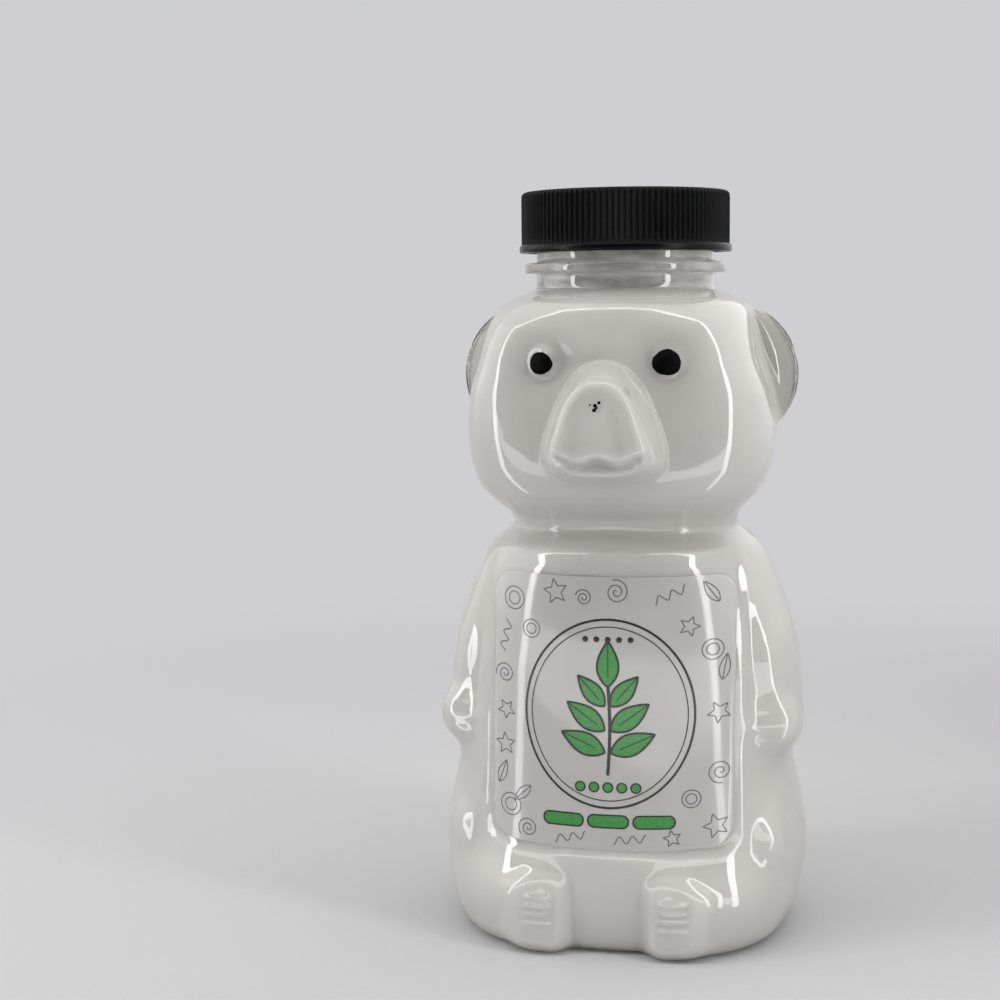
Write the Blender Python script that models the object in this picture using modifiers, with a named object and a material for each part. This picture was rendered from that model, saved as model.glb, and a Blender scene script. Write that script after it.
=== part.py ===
"""Clear bear-shaped bottle of white craft glue with a black ribbed screw cap.

The blown body is a loft of rounded sections from a coarse list of stations. The face, arms,
legs, feet and ears are smooth fields pushed out of that loft. The cavity, the glue inside it
and the labels follow the same skin, so a change of one size moves all of them.

Everything is built about the neck axis, with the bear looking along -Y and the table at z = 0.
"""
import math

import bpy
import numpy as np

# Whole bottle
BODY_HEIGHT = 0.1245
BEAR_WIDTH = 0.0684
BEAR_DEPTH = 0.0612
AXIS_SETBACK = 0.00345
WALL = 0.0009
CLEARANCE = 0.0003

# Muzzle, nose and mouth
MUZZLE_HEIGHT_share = 0.8096
MUZZLE_HALF_WIDTH = 0.0106
MUZZLE_HALF_HEIGHT = 0.0118
MUZZLE_REACH = 0.0088
MUZZLE_TAPER_share = 0.42
MUZZLE_TILT_share = 0.20
MUZZLE_FLANK_share = 0.38
MUZZLE_SQUARENESS = 2.6
NOSE_RISE = 0.0006
NOSE_HALF_WIDTH = 0.0044
NOSE_HALF_HEIGHT = 0.0048
NOSE_REACH = 0.0011
NOSE_FLANK_share = 0.4
NOSE_FADE_share = 1.5
MOUTH_DROP = 0.0061
MOUTH_HALF_WIDTH = 0.0078
LIP_WAVE = 0.0013
LIP_STEP = 0.0016
LIP_EDGE = 0.0012
LIP_LIFT_share = 0.7
LIP_FADE_share = 0.4
MUZZLE_HEIGHT = MUZZLE_HEIGHT_share * BODY_HEIGHT
NOSE_HEIGHT = MUZZLE_HEIGHT + NOSE_RISE
MOUTH_HEIGHT = MUZZLE_HEIGHT - MOUTH_DROP

# Eyes
EYE_RISE = 0.0112
EYE_SPREAD = 0.0113
EYE_RADIUS = 0.0039
EYE_BULGE = 0.0020
SOCKET_RADIUS = 0.0088
SOCKET_DEPTH = 0.0016
PUPIL_RADIUS = 0.0026
INK_THICKNESS = 0.0003
INK_GAP = 0.0004
EYE_HEIGHT = MUZZLE_HEIGHT + EYE_RISE

# Ears
EAR_RADIUS = 0.0142
EAR_TOP_DROP = 0.0007
EAR_OUTREACH_share = 0.974
EAR_FRONT_PLACE = 0.0012
EAR_BACK_PLACE = 0.0084
EAR_DISH = 0.0016
EAR_RIM_WIDTH = 0.0048
EAR_EDGE_share = 0.4
EAR_HEIGHT = BODY_HEIGHT - EAR_TOP_DROP - EAR_RADIUS
EAR_OUTREACH = EAR_OUTREACH_share * BEAR_WIDTH / 2

# Arms and paws
ARM_ANGLE = math.radians(87)
ARM_TOP_share = 0.6225
ARM_BOTTOM_share = 0.261
ARM_HALF_WIDTH = 0.0185
ARM_EDGE = 0.0085
ARM_BULGE = 0.0030
ARM_TOP_FADE = 0.0240
ARM_END_FADE = 0.0080
PAW_ANGLE = math.radians(79)
PAW_HEIGHT_share = 0.3253
PAW_HALF_WIDTH = 0.0125
PAW_HALF_HEIGHT = 0.0085
PAW_BULGE = 0.0016
ARM_TOP = ARM_TOP_share * BODY_HEIGHT
ARM_BOTTOM = ARM_BOTTOM_share * BODY_HEIGHT
PAW_HEIGHT = PAW_HEIGHT_share * BODY_HEIGHT

# Legs and feet
THIGH_HEIGHT_share = 0.1366
THIGH_HALF_HEIGHT = 0.0145
THIGH_HALF_WIDTH = 0.0220
THIGH_EDGE = 0.0080
THIGH_BULGE = 0.0020
KNEE_ANGLE = math.radians(60)
KNEE_RISE = 0.0025
KNEE_HALF_WIDTH = 0.0085
KNEE_HALF_HEIGHT = 0.0105
KNEE_BULGE = 0.0018
SHIN_TOP_share = 0.1406
SHIN_EDGE = 0.0060
SHIN_BULGE = 0.0034
SHIN_FRONT_ANGLE = math.radians(13)
SHIN_FRONT_SWEEP = math.radians(10)
SHIN_BACK_ANGLE = math.radians(84)
SHIN_BACK_SWEEP = math.radians(42)
FOOT_SPREAD_share = 0.357
FOOT_HALF_WIDTH = 0.0064
FOOT_CORNER = 0.0048
FOOT_EDGE = 0.0036
FOOT_DIP = 0.0012
SOLE_REACH_share = 0.961
THIGH_HEIGHT = THIGH_HEIGHT_share * BODY_HEIGHT
KNEE_HEIGHT = THIGH_HEIGHT + KNEE_RISE
SHIN_TOP = SHIN_TOP_share * BODY_HEIGHT
FOOT_TOP = SHIN_TOP
FOOT_SPREAD = FOOT_SPREAD_share * BEAR_WIDTH / 2
SOLE_REACH = SOLE_REACH_share * BEAR_DEPTH / 2

# Front and back label panels, and the labels laid in them
PANEL_BOTTOM_share = 0.1566
PANEL_TOP_share = 0.6145
PANEL_WIDTH_share = 0.731
PANEL_EDGE = 0.0018
PANEL_DEPTH = 0.0007
LABEL_END_MARGIN = 0.0030
LABEL_SIDE_MARGIN = 0.0022
LABEL_CORNER = 0.0040
LABEL_THICKNESS = 0.0002
PANEL_BOTTOM = PANEL_BOTTOM_share * BODY_HEIGHT
PANEL_TOP = PANEL_TOP_share * BODY_HEIGHT
PANEL_HALF_WIDTH = PANEL_WIDTH_share * BEAR_WIDTH / 2
LABEL_BOTTOM = PANEL_BOTTOM + LABEL_END_MARGIN
LABEL_TOP = PANEL_TOP - LABEL_END_MARGIN
LABEL_HALF_WIDTH = PANEL_HALF_WIDTH - LABEL_SIDE_MARGIN

# Neck finish and its thread
NECK_RADIUS = 0.0173
NECK_WALL = 0.0017
NECK_FILLET = 0.0014
BEAD_RISE = 0.0036
BEAD_DEPTH = 0.0023
BEAD_THICKNESS = 0.0020
FINISH_HEIGHT = 0.0111
LIP_ROUND = 0.0004
THREAD_PITCH = 0.004233
THREAD_DEPTH = 0.0013
THREAD_RISE = 0.0033
THREAD_TOP_GAP = 0.0025
THREAD_ROOT_WIDTH = 0.0022
THREAD_TIP_WIDTH = 0.0010
THREAD_FADE = math.radians(25)
THREAD_END_share = 0.1
BORE_RADIUS = NECK_RADIUS - NECK_WALL
BEAD_RADIUS = NECK_RADIUS + BEAD_DEPTH
BEAD_BOTTOM = BODY_HEIGHT + BEAD_RISE
BEAD_TOP = BEAD_BOTTOM + BEAD_THICKNESS
LIP_HEIGHT = BEAD_TOP + FINISH_HEIGHT
THREAD_RADIUS = NECK_RADIUS + THREAD_DEPTH
THREAD_BOTTOM = BEAD_TOP + THREAD_RISE
THREAD_TURNS = (FINISH_HEIGHT - THREAD_RISE - THREAD_TOP_GAP) / THREAD_PITCH

# Glue
FILL_RISE = 0.0002
FILL_LEVEL = BODY_HEIGHT + FILL_RISE

# Screw cap and liner
LINER_THICKNESS = 0.0007
LINER_RIM_GAP = 0.0004
CAP_BEAD_GAP = 0.0020
CAP_WALL = 0.0013
CAP_TOP_THICKNESS = 0.0012
CAP_EDGE = 0.0007
CAP_FLANGE_DEPTH = 0.0004
CAP_FLANGE_HEIGHT = 0.0014
RIB_COUNT = 114
RIB_DEPTH = 0.0003
CAP_THREAD_GAP = 0.0004
CAP_THREAD_RISE = 0.0012
CAP_THREAD_TOP_GAP = 0.0045
THREAD_FLANK_GAP = 0.0003
LINER_BOTTOM = LIP_HEIGHT + CLEARANCE
CAP_BOTTOM = BEAD_TOP + CAP_BEAD_GAP
CAP_INSIDE_TOP = LINER_BOTTOM + LINER_THICKNESS + CLEARANCE
CAP_TOP = CAP_INSIDE_TOP + CAP_TOP_THICKNESS
CAP_BORE_RADIUS = THREAD_RADIUS + CLEARANCE
CAP_RADIUS = CAP_BORE_RADIUS + CAP_WALL
CAP_FLANGE_RADIUS = CAP_RADIUS + CAP_FLANGE_DEPTH
CAP_THREAD_RADIUS = NECK_RADIUS + CAP_THREAD_GAP
CAP_THREAD_BOTTOM = CAP_BOTTOM + CAP_THREAD_RISE
CAP_THREAD_TURNS = (CAP_INSIDE_TOP - CAP_THREAD_BOTTOM - CAP_THREAD_TOP_GAP) / THREAD_PITCH

OVERRUN = 0.0010

# How much of a soft ramp its rounded corners take, and how far round the front its reliefs fade
RAMP_BEND_share = 0.3
FRONT_FADE_share = 0.3

# Stations of the body from the middle of the base up to the neck: height as a share of the body
# height, half width as a share of half the bear's width, reach to the front and to the back as
# shares of half its depth, and how square the section is (2 is round).
STATION_shares = (
    (0.012, 0.23, 0.22, 0.24, 2.0),
    (0.012, 0.52, 0.48, 0.52, 2.0),
    (0.000, 0.62, 0.57, 0.62, 2.1),
    (0.000, 0.84, 0.77, 0.84, 2.2),
    (0.007, 0.91, 0.83, 0.90, 2.2),
    (0.024, 0.960, 0.87, 0.94, 2.2),
    (0.064, 0.995, 0.905, 0.98, 2.2),
    (0.130, 1.000, 0.935, 1.00, 2.2),
    (0.195, 0.978, 0.945, 1.00, 2.2),
    (0.260, 0.956, 0.947, 0.99, 2.2),
    (0.360, 0.936, 0.947, 0.975, 2.2),
    (0.480, 0.892, 0.933, 0.94, 2.2),
    (0.546, 0.850, 0.918, 0.90, 2.2),
    (0.588, 0.805, 0.897, 0.855, 2.2),
    (0.611, 0.752, 0.850, 0.790, 2.2),
    (0.626, 0.685, 0.765, 0.720, 2.2),
    (0.641, 0.640, 0.680, 0.680, 2.2),
    (0.657, 0.655, 0.690, 0.695, 2.4),
    (0.675, 0.714, 0.765, 0.760, 2.8),
    (0.703, 0.795, 0.860, 0.847, 3.2),
    (0.740, 0.838, 0.893, 0.885, 3.5),
    (0.787, 0.852, 0.902, 0.898, 3.7),
    (0.843, 0.838, 0.902, 0.895, 3.8),
    (0.900, 0.808, 0.897, 0.880, 3.8),
    (0.948, 0.765, 0.880, 0.850, 3.2),
    (0.974, 0.735, 0.848, 0.815, 2.8),
    (0.988, 0.680, 0.780, 0.745, 2.5),
)

# Number of the station beside the tops of the ears, counted from zero
EAR_TOP_STATION = 24

# How finely the skin is sampled: the angle of the densely sampled face, and how many columns
# cover the face, the flank, the ear and the back of each half
FACE_ANGLE = math.radians(29)
FACE_COLUMNS = 10
FLANK_COLUMNS = 7
EAR_COLUMNS = 6
BACK_COLUMNS = 5
BODY_ROW_PITCH = 0.0056
HEAD_ROW_PITCH = 0.0024
LABEL_COLUMNS = 15
LABEL_ROWS = 7
LABEL_CORNER_ROWS = 4
EYE_SEGMENTS = 16
ROUND_SEGMENTS = 48
THREAD_SEGMENTS = 36
CURVE_SAMPLES = 4000
FOLLOW_STEP = 0.0001


def smooth_curve(knots, values, places):
    """Monotone cubic curve through the values at the knots, read at the given places."""
    steps = np.diff(knots)[:, None]
    slopes = np.diff(values, axis=0) / steps
    before, after = slopes[:-1], slopes[1:]
    weight_before = 2 * steps[1:] + steps[:-1]
    weight_after = steps[1:] + 2 * steps[:-1]
    same_way = before * after > 0
    safe_before = np.where(same_way, before, 1)
    safe_after = np.where(same_way, after, 1)
    mean = (weight_before + weight_after) / (weight_before / safe_before + weight_after / safe_after)
    tangents = np.vstack([slopes[:1], np.where(same_way, mean, 0), slopes[-1:]])
    index = np.clip(np.searchsorted(knots, places, side="right") - 1, 0, len(steps) - 1)
    step = steps[index]
    share = (places[:, None] - np.asarray(knots)[index][:, None]) / step
    rise = share * share * (3 - 2 * share)
    leave = share * (1 - share) ** 2
    arrive = share * share * (share - 1)
    return (
        values[index] * (1 - rise)
        + values[index + 1] * rise
        + step * (tangents[index] * leave + tangents[index + 1] * arrive)
    )


def ease(share):
    """Smooth step from 0 at 0 to 1 at 1."""
    share = np.clip(share, 0, 1)
    return share * share * (3 - 2 * share)


def ramp(share):
    """Straight ramp from 0 at 0 to 1 at 1 with both corners rounded."""
    share = np.clip(share, 0, 1)
    bend = 2 * RAMP_BEND_share * (1 - RAMP_BEND_share)
    middle = (share - RAMP_BEND_share / 2) / (1 - RAMP_BEND_share)
    return np.where(
        share < RAMP_BEND_share,
        share**2 / bend,
        np.where(share > 1 - RAMP_BEND_share, 1 - (1 - share) ** 2 / bend, middle),
    )


def mound(distance):
    """Smooth mound, 1 at distance 0 and 0 from distance 1 on."""
    return np.clip(1 - distance * distance, 0, 1) ** 2


def body_stations():
    """The stations in metres, with round ones added for the fillet at the foot of the neck."""
    shares = np.array(STATION_shares)
    sizes = np.array([BODY_HEIGHT, BEAR_WIDTH / 2, BEAR_DEPTH / 2, BEAR_DEPTH / 2, 1])
    stations = list(shares * sizes)
    for turn in (0, math.pi / 4, math.pi / 2):
        radius = NECK_RADIUS + NECK_FILLET * (1 - math.sin(turn))
        height = BODY_HEIGHT + NECK_FILLET * (1 - math.cos(turn))
        stations.append(np.array([height, radius, radius, radius, 2]))
    return np.array(stations)


STATIONS = body_stations()
STATION_PLACES = np.concatenate(
    [[0], np.cumsum(np.hypot(np.diff(STATIONS[:, 0]), np.diff(STATIONS[:, 1])))]
)
SIDE_START = STATION_PLACES[3]


def muzzle_field(across, up, inset=0.0):
    """Reach of the muzzle, the nose on it and the step under the upper lip."""
    up_share = (up - MUZZLE_HEIGHT) / (MUZZLE_HALF_HEIGHT - inset)
    half_width = (MUZZLE_HALF_WIDTH - inset) * (1 - MUZZLE_TAPER_share * np.clip(up_share, -1, 1))
    ring = np.abs(across / half_width) ** MUZZLE_SQUARENESS + np.abs(up_share) ** MUZZLE_SQUARENESS
    ring = ring ** (1 / MUZZLE_SQUARENESS)
    tilt = 1 - MUZZLE_TILT_share * np.clip(-up_share, 0, 1)
    reach = MUZZLE_REACH * tilt * ramp((1 - ring) / MUZZLE_FLANK_share)
    nose_up = (up - NOSE_HEIGHT) / NOSE_HALF_HEIGHT
    nose_ring = np.hypot(across / NOSE_HALF_WIDTH, np.clip(nose_up, 0, None))
    nose = ramp((1 - nose_ring) / NOSE_FLANK_share) * ease(1 + nose_up / NOSE_FADE_share)
    reach = reach + NOSE_REACH * nose
    side_share = np.abs(across) / MOUTH_HALF_WIDTH
    wave = LIP_LIFT_share * side_share**2 - np.sin(np.pi * np.clip(side_share, 0, 1))
    below_lip = ease((MOUTH_HEIGHT + LIP_WAVE * wave - up) / LIP_EDGE + 1 / 2)
    below_lip = below_lip * ease((1 - side_share) / LIP_FADE_share + 1 / 2)
    return reach - LIP_STEP * below_lip * ease((1 - ring) / MUZZLE_FLANK_share)


def eye_field(across, up):
    """Bulge of the two eyes in their shallow sockets."""
    distance = np.hypot(np.abs(across) - EYE_SPREAD, up - EYE_HEIGHT)
    return EYE_BULGE * mound(distance / EYE_RADIUS) - SOCKET_DEPTH * mound(distance / SOCKET_RADIUS)


def panel_field(across, up):
    """1 inside a label panel with rounded corners, 0 outside it."""
    side = (np.abs(across) - PANEL_HALF_WIDTH) / PANEL_EDGE
    middle = (PANEL_TOP + PANEL_BOTTOM) / 2
    end = (np.abs(up - middle) - (PANEL_TOP - PANEL_BOTTOM) / 2) / PANEL_EDGE
    corner = LABEL_CORNER / PANEL_EDGE
    over = np.hypot(np.clip(side + corner, 0, None), np.clip(end + corner, 0, None)) - corner
    return ease(-np.maximum(over, np.maximum(side, end)))


def limb_field(angle, up):
    """Outward bulge of the arms, paws, thighs, knees and shins, by angle from the front."""
    turn = np.abs(angle)
    girth = BEAR_WIDTH / 2
    from_arm = np.abs(turn - ARM_ANGLE) * girth
    arm = ramp((ARM_HALF_WIDTH - from_arm) / ARM_EDGE)
    arm = arm * ease((ARM_TOP - up) / ARM_TOP_FADE) * ease((up - ARM_BOTTOM) / ARM_END_FADE + 1 / 2)
    paw = np.hypot((turn - PAW_ANGLE) * girth / PAW_HALF_WIDTH, (up - PAW_HEIGHT) / PAW_HALF_HEIGHT)
    thigh = ramp((THIGH_HALF_WIDTH - from_arm) / THIGH_EDGE)
    thigh = thigh * mound((up - THIGH_HEIGHT) / THIGH_HALF_HEIGHT)
    knee = np.hypot((turn - KNEE_ANGLE) * girth / KNEE_HALF_WIDTH, (up - KNEE_HEIGHT) / KNEE_HALF_HEIGHT)
    shin = ramp((SHIN_TOP - up) / SHIN_EDGE) * ease((turn - SHIN_FRONT_ANGLE) / SHIN_FRONT_SWEEP)
    shin = shin * ease((SHIN_BACK_ANGLE - turn) / SHIN_BACK_SWEEP)
    return (
        ARM_BULGE * arm
        + PAW_BULGE * mound(paw)
        + THIGH_BULGE * thigh
        + KNEE_BULGE * mound(knee)
        + SHIN_BULGE * shin
    )


def foot_field(across, up, inset=0.0):
    """1 on the two soles, easing to 0 past their rounded edges."""
    side = np.abs(np.abs(across) - FOOT_SPREAD) - FOOT_HALF_WIDTH + FOOT_CORNER
    end = FOOT_CORNER + np.maximum(up - FOOT_TOP, -FOOT_DIP - up)
    over = np.hypot(np.clip(side, 0, None), np.clip(end, 0, None))
    return ramp((FOOT_CORNER - inset - over) / FOOT_EDGE)


def ear_reach(up, side):
    """How far the ear's rim stands out past the side of the head at each height."""
    chord = np.sqrt(np.clip(EAR_RADIUS**2 - (up - EAR_HEIGHT) ** 2, 0, None))
    rim = EAR_OUTREACH - EAR_RADIUS + chord
    return np.where(chord > 0, np.clip(rim - side, 0, None), 0)


def sections(rows, inset=0.0):
    """Sections of the body at the given rows, drawn in square to the profile by the inset."""
    values = smooth_curve(STATION_PLACES, STATIONS, rows)
    ahead = smooth_curve(STATION_PLACES, STATIONS, rows + FOLLOW_STEP)
    behind = smooth_curve(STATION_PLACES, STATIONS, rows - FOLLOW_STEP)
    climb, spread = (ahead - behind)[:, 0], (ahead - behind)[:, 1]
    length = np.hypot(climb, spread)
    values[:, 0] += inset * spread / length
    values[:, 1:4] -= inset * (climb / length)[:, None]
    return values


def skin(rows, angles, inset=0.0):
    """Skin of the bear: rows are places along the stations, angles run from the front.

    With an inset it is the skin of the cavity or of what fills it, which stays out of the ears.
    """
    up, half_width, front, back, square = (sections(rows, inset)[:, [k]] for k in range(5))
    sine, cosine = np.sin(angles)[None, :], np.cos(angles)[None, :]
    depth = np.where(cosine > 0, front, back)
    radius = np.abs(sine / half_width) ** square + np.abs(cosine / depth) ** square
    radius = radius ** (-1 / square)
    up = up + np.zeros_like(radius)
    on_side = (rows > SIDE_START - FOLLOW_STEP)[:, None]

    radius = radius + limb_field(angles[None, :], up) * on_side
    across = radius * sine
    along = -radius * cosine
    panel = panel_field(across, up)
    across = across - PANEL_DEPTH * panel * sine
    along = along + PANEL_DEPTH * panel * cosine

    facing = ease(cosine / FRONT_FADE_share)
    forward = muzzle_field(across, up, inset) + eye_field(across, up)
    sole = foot_field(across, up, inset) * on_side
    forward = forward + sole * np.clip(SOLE_REACH - inset + along, 0, None)
    along = along - forward * facing

    if inset == 0:
        share = (along - EAR_FRONT_PLACE) / (EAR_BACK_PLACE - EAR_FRONT_PLACE)
        share = np.clip(np.where(cosine < 0, share, 0), 0, 1)
        out = ear_reach(up, np.abs(across))
        across = across + np.sign(across) * out * np.sin(np.pi * share) ** EAR_EDGE_share
        dish = np.sin(np.pi * np.clip(2 * share, 0, 1)) * ease(out / EAR_RIM_WIDTH)
        along = along + EAR_DISH * dish
    return np.stack([across, along, up], axis=2)


def front_face(across, up):
    """Place of the front skin, along the bear's depth, at points named by width and height."""
    fine = np.linspace(SIDE_START, STATION_PLACES[-1], CURVE_SAMPLES)
    heights = smooth_curve(STATION_PLACES, STATIONS, fine)[:, 0]
    rows = np.interp(np.ravel(up), heights, fine)
    stations = smooth_curve(STATION_PLACES, STATIONS, rows)
    half_width, front, square = (stations[:, k].reshape(np.shape(up)) for k in (1, 2, 4))
    along = -front * (1 - np.abs(across / half_width) ** square) ** (1 / square)
    radius = np.hypot(across, along)
    along = along + PANEL_DEPTH * panel_field(across, up) * np.abs(along) / radius
    return along - muzzle_field(across, up) - eye_field(across, up)


def half_turn_angles(with_ears):
    """Column angles from the front round one side to the back, dense on the face and the ear."""
    narrowest = STATIONS[EAR_TOP_STATION, 1]
    ear_start = math.pi / 2 + math.atan(EAR_FRONT_PLACE / narrowest)
    ear_end = math.pi / 2 + math.atan((EAR_BACK_PLACE + CLEARANCE) / narrowest)
    face = np.linspace(0, FACE_ANGLE, FACE_COLUMNS, endpoint=False)
    if not with_ears:
        rest = np.linspace(FACE_ANGLE, math.pi, FLANK_COLUMNS + BACK_COLUMNS)
        return np.concatenate([face, rest])
    spread = (1 - np.cos(np.pi * np.arange(EAR_COLUMNS) / EAR_COLUMNS)) / 2
    return np.concatenate(
        [
            face,
            np.linspace(FACE_ANGLE, ear_start, FLANK_COLUMNS, endpoint=False),
            ear_start + (ear_end - ear_start) * spread,
            np.linspace(ear_end, math.pi, BACK_COLUMNS + 1),
        ]
    )


def column_angles(with_ears):
    """Column angles all the way round, anticlockwise seen from above."""
    half = half_turn_angles(with_ears)
    return np.concatenate([half, 2 * math.pi - half[-2:0:-1]]) - 2 * math.pi * np.concatenate(
        [np.zeros(len(half)), np.ones(len(half) - 2)]
    )


def row_places():
    """Row places along the stations: every station, with more rows where they lie far apart."""
    places = []
    for start, end, station in zip(STATION_PLACES[:-1], STATION_PLACES[1:], STATIONS[:-1]):
        on_face = abs(station[0] - MUZZLE_HEIGHT) < MUZZLE_HALF_HEIGHT
        pitch = HEAD_ROW_PITCH if on_face else BODY_ROW_PITCH
        places.extend(np.linspace(start, end, math.ceil((end - start) / pitch), endpoint=False))
    return np.array(places + [STATION_PLACES[-1]])


def ring(radius, height, angles):
    """One round ring at the skin's own column angles."""
    return np.stack([radius * np.sin(angles), -radius * np.cos(angles), np.full_like(angles, height)], 1)


def loft(name, rings):
    """Closed solid through rings of equal length, with a fan of faces over each end.

    Each four-cornered cell is cut along its shorter diagonal, so both sides of the face are alike.
    """
    rows, columns = rings.shape[:2]
    points = np.vstack([rings.reshape(-1, 3), rings[0].mean(axis=0), rings[-1].mean(axis=0)])
    column = np.arange(columns)
    beside = (column + 1) % columns
    faces = []
    for row in range(rows - 1):
        corners = (row * columns + column, row * columns + beside)
        corners += ((row + 1) * columns + beside, (row + 1) * columns + column)
        rising = np.linalg.norm(points[corners[2]] - points[corners[0]], axis=1)
        falling = np.linalg.norm(points[corners[3]] - points[corners[1]], axis=1)
        start = np.where(rising <= falling, 0, 1)
        ordered = np.choose((start + np.arange(4)[:, None]) % 4, corners).T
        faces.extend(ordered[:, [0, 1, 2]].tolist() + ordered[:, [0, 2, 3]].tolist())
    foot, last = rows * columns, (rows - 1) * columns
    faces.extend(zip([foot] * columns, beside.tolist(), column.tolist()))
    faces.extend(zip([foot + 1] * columns, (last + column).tolist(), (last + beside).tolist()))
    mesh = bpy.data.meshes.new(name)
    mesh.from_pydata(points.tolist(), [], faces)
    return bpy.data.objects.new(name, mesh)


def thread(name, root_radius, tip_radius, bottom, turns, start_turn):
    """Right-handed thread: a trapezoid carried up a helix, thinning to nothing at both ends."""
    count = math.ceil(THREAD_SEGMENTS * turns) + 1
    sweep = np.linspace(0, 2 * math.pi * turns, count)
    turn = start_turn + sweep
    middle = bottom + THREAD_PITCH * sweep / (2 * math.pi)
    fade = np.minimum(ease(sweep / THREAD_FADE), ease((sweep[-1] - sweep) / THREAD_FADE))
    fade = THREAD_END_share + (1 - THREAD_END_share) * fade
    root_half, tip_half = THREAD_ROOT_WIDTH / 2 * fade, THREAD_TIP_WIDTH / 2 * fade
    tip = root_radius + (tip_radius - root_radius) * fade
    inward = -1 if tip_radius > root_radius else 1
    root = np.full(count, root_radius + inward * CLEARANCE)
    corners = ((root, -root_half), (tip, -tip_half), (tip, tip_half), (root, root_half))
    sections = [
        np.stack([radius * np.cos(turn), radius * np.sin(turn), middle + rise], axis=1)
        for radius, rise in corners
    ]
    rings = np.stack(sections, axis=1)
    if tip_radius > root_radius:
        rings = rings[:, ::-1]
    return loft(name, rings)


def material(name, colour, roughness, metallic=0.0, transmission=0.0, alpha=1.0):
    """Principled material from an 8-bit sRGB hex colour."""
    channels = [int(colour[k : k + 2], 16) / 255 for k in (1, 3, 5)]
    linear = [c / 12.92 if c <= 0.04045 else ((c + 0.055) / 1.055) ** 2.4 for c in channels]
    made = bpy.data.materials.new(name)
    made.use_nodes = True
    shader = made.node_tree.nodes["Principled BSDF"]
    shader.inputs["Base Color"].default_value = (*linear, 1.0)
    shader.inputs["Roughness"].default_value = roughness
    shader.inputs["Metallic"].default_value = metallic
    shader.inputs["Transmission Weight"].default_value = transmission
    shader.inputs["Alpha"].default_value = alpha
    return made


def place(obj, collection, parent, look=None):
    """Put an object in its collection under the axis empty, with its material and soft shading."""
    collection.objects.link(obj)
    obj.parent = parent
    if look is not None:
        obj.data.materials.append(look)
        obj.data.shade_smooth()
        obj.data.set_sharp_from_angle(angle=math.radians(50))
    return obj


def join(target, other, operation):
    """Boolean of one object with another, which then stays as a hidden guide."""
    other.hide_render = True
    other.display_type = "WIRE"
    modifier = target.modifiers.new(f"{operation.lower()} {other.name}", "BOOLEAN")
    modifier.operation = operation
    modifier.object = other
    modifier.solver = "EXACT"


def make_bottle(parts, guides, axis):
    """Blown body with the neck finish: the outer skin, less the cavity, plus the thread."""
    angles = column_angles(True)
    neck = (
        (NECK_RADIUS, BEAD_BOTTOM),
        (BEAD_RADIUS - LIP_ROUND, BEAD_BOTTOM + LIP_ROUND / 2),
        (BEAD_RADIUS, BEAD_BOTTOM + LIP_ROUND),
        (BEAD_RADIUS, BEAD_TOP - LIP_ROUND),
        (BEAD_RADIUS - LIP_ROUND, BEAD_TOP - LIP_ROUND / 2),
        (NECK_RADIUS, BEAD_TOP),
        (NECK_RADIUS, LIP_HEIGHT - LIP_ROUND),
        (NECK_RADIUS - LIP_ROUND, LIP_HEIGHT),
    )
    neck_rings = [ring(radius, height, angles) for radius, height in neck]
    outer = np.concatenate([skin(row_places(), angles), np.array(neck_rings)])
    bottle = place(
        loft("bottle", outer),
        parts,
        axis,
        material("clear polyester", "#EEF1F0", 0.05, transmission=1.0, alpha=0.35),
    )

    inner_angles = column_angles(False)
    mouth = ((BORE_RADIUS, BODY_HEIGHT + 2 * NECK_FILLET), (BORE_RADIUS, LIP_HEIGHT + OVERRUN))
    half_column = FACE_ANGLE / FACE_COLUMNS / 2
    mouth_rings = [ring(radius, height, inner_angles + half_column) for radius, height in mouth]
    inner = np.concatenate([skin(row_places(), inner_angles, WALL), np.array(mouth_rings)])
    cavity = place(loft("cavity_cutter", inner), guides, axis)
    join(bottle, cavity, "DIFFERENCE")

    helix = thread("neck_thread", NECK_RADIUS, THREAD_RADIUS, THREAD_BOTTOM, THREAD_TURNS, 0.0)
    join(bottle, place(helix, guides, axis), "UNION")
    return bottle


def make_glue(parts, axis):
    """Glue that fills the cavity up to the foot of the neck."""
    angles = column_angles(False)
    rings = skin(row_places(), angles, WALL + CLEARANCE)
    full = rings[:, :, 2].max(axis=1) < FILL_LEVEL - CLEARANCE
    top = ring(BORE_RADIUS - CLEARANCE, FILL_LEVEL, angles)
    return place(
        loft("glue_fill", np.concatenate([rings[full], top[None]])),
        parts,
        axis,
        material("white craft glue", "#DDDED8", 0.55),
    )


def label_points():
    """Grid of places across and up a label, with its corners rounded."""
    turn = np.linspace(0, math.pi / 2, LABEL_CORNER_ROWS)
    straight = LABEL_TOP - LABEL_BOTTOM - 2 * LABEL_CORNER
    middle = LABEL_CORNER + straight * np.arange(1, LABEL_ROWS) / LABEL_ROWS
    corner = LABEL_CORNER * (1 - np.cos(turn))
    rise = np.concatenate([corner, middle, straight + 2 * LABEL_CORNER - corner[::-1]])
    short = LABEL_CORNER * (1 - np.sin(turn))
    short = np.concatenate([short, np.zeros(len(middle)), short[::-1]])
    side = np.linspace(-1, 1, LABEL_COLUMNS)[None, :]
    return side * (LABEL_HALF_WIDTH - short)[:, None], (LABEL_BOTTOM + rise)[:, None] + 0 * side


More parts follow.
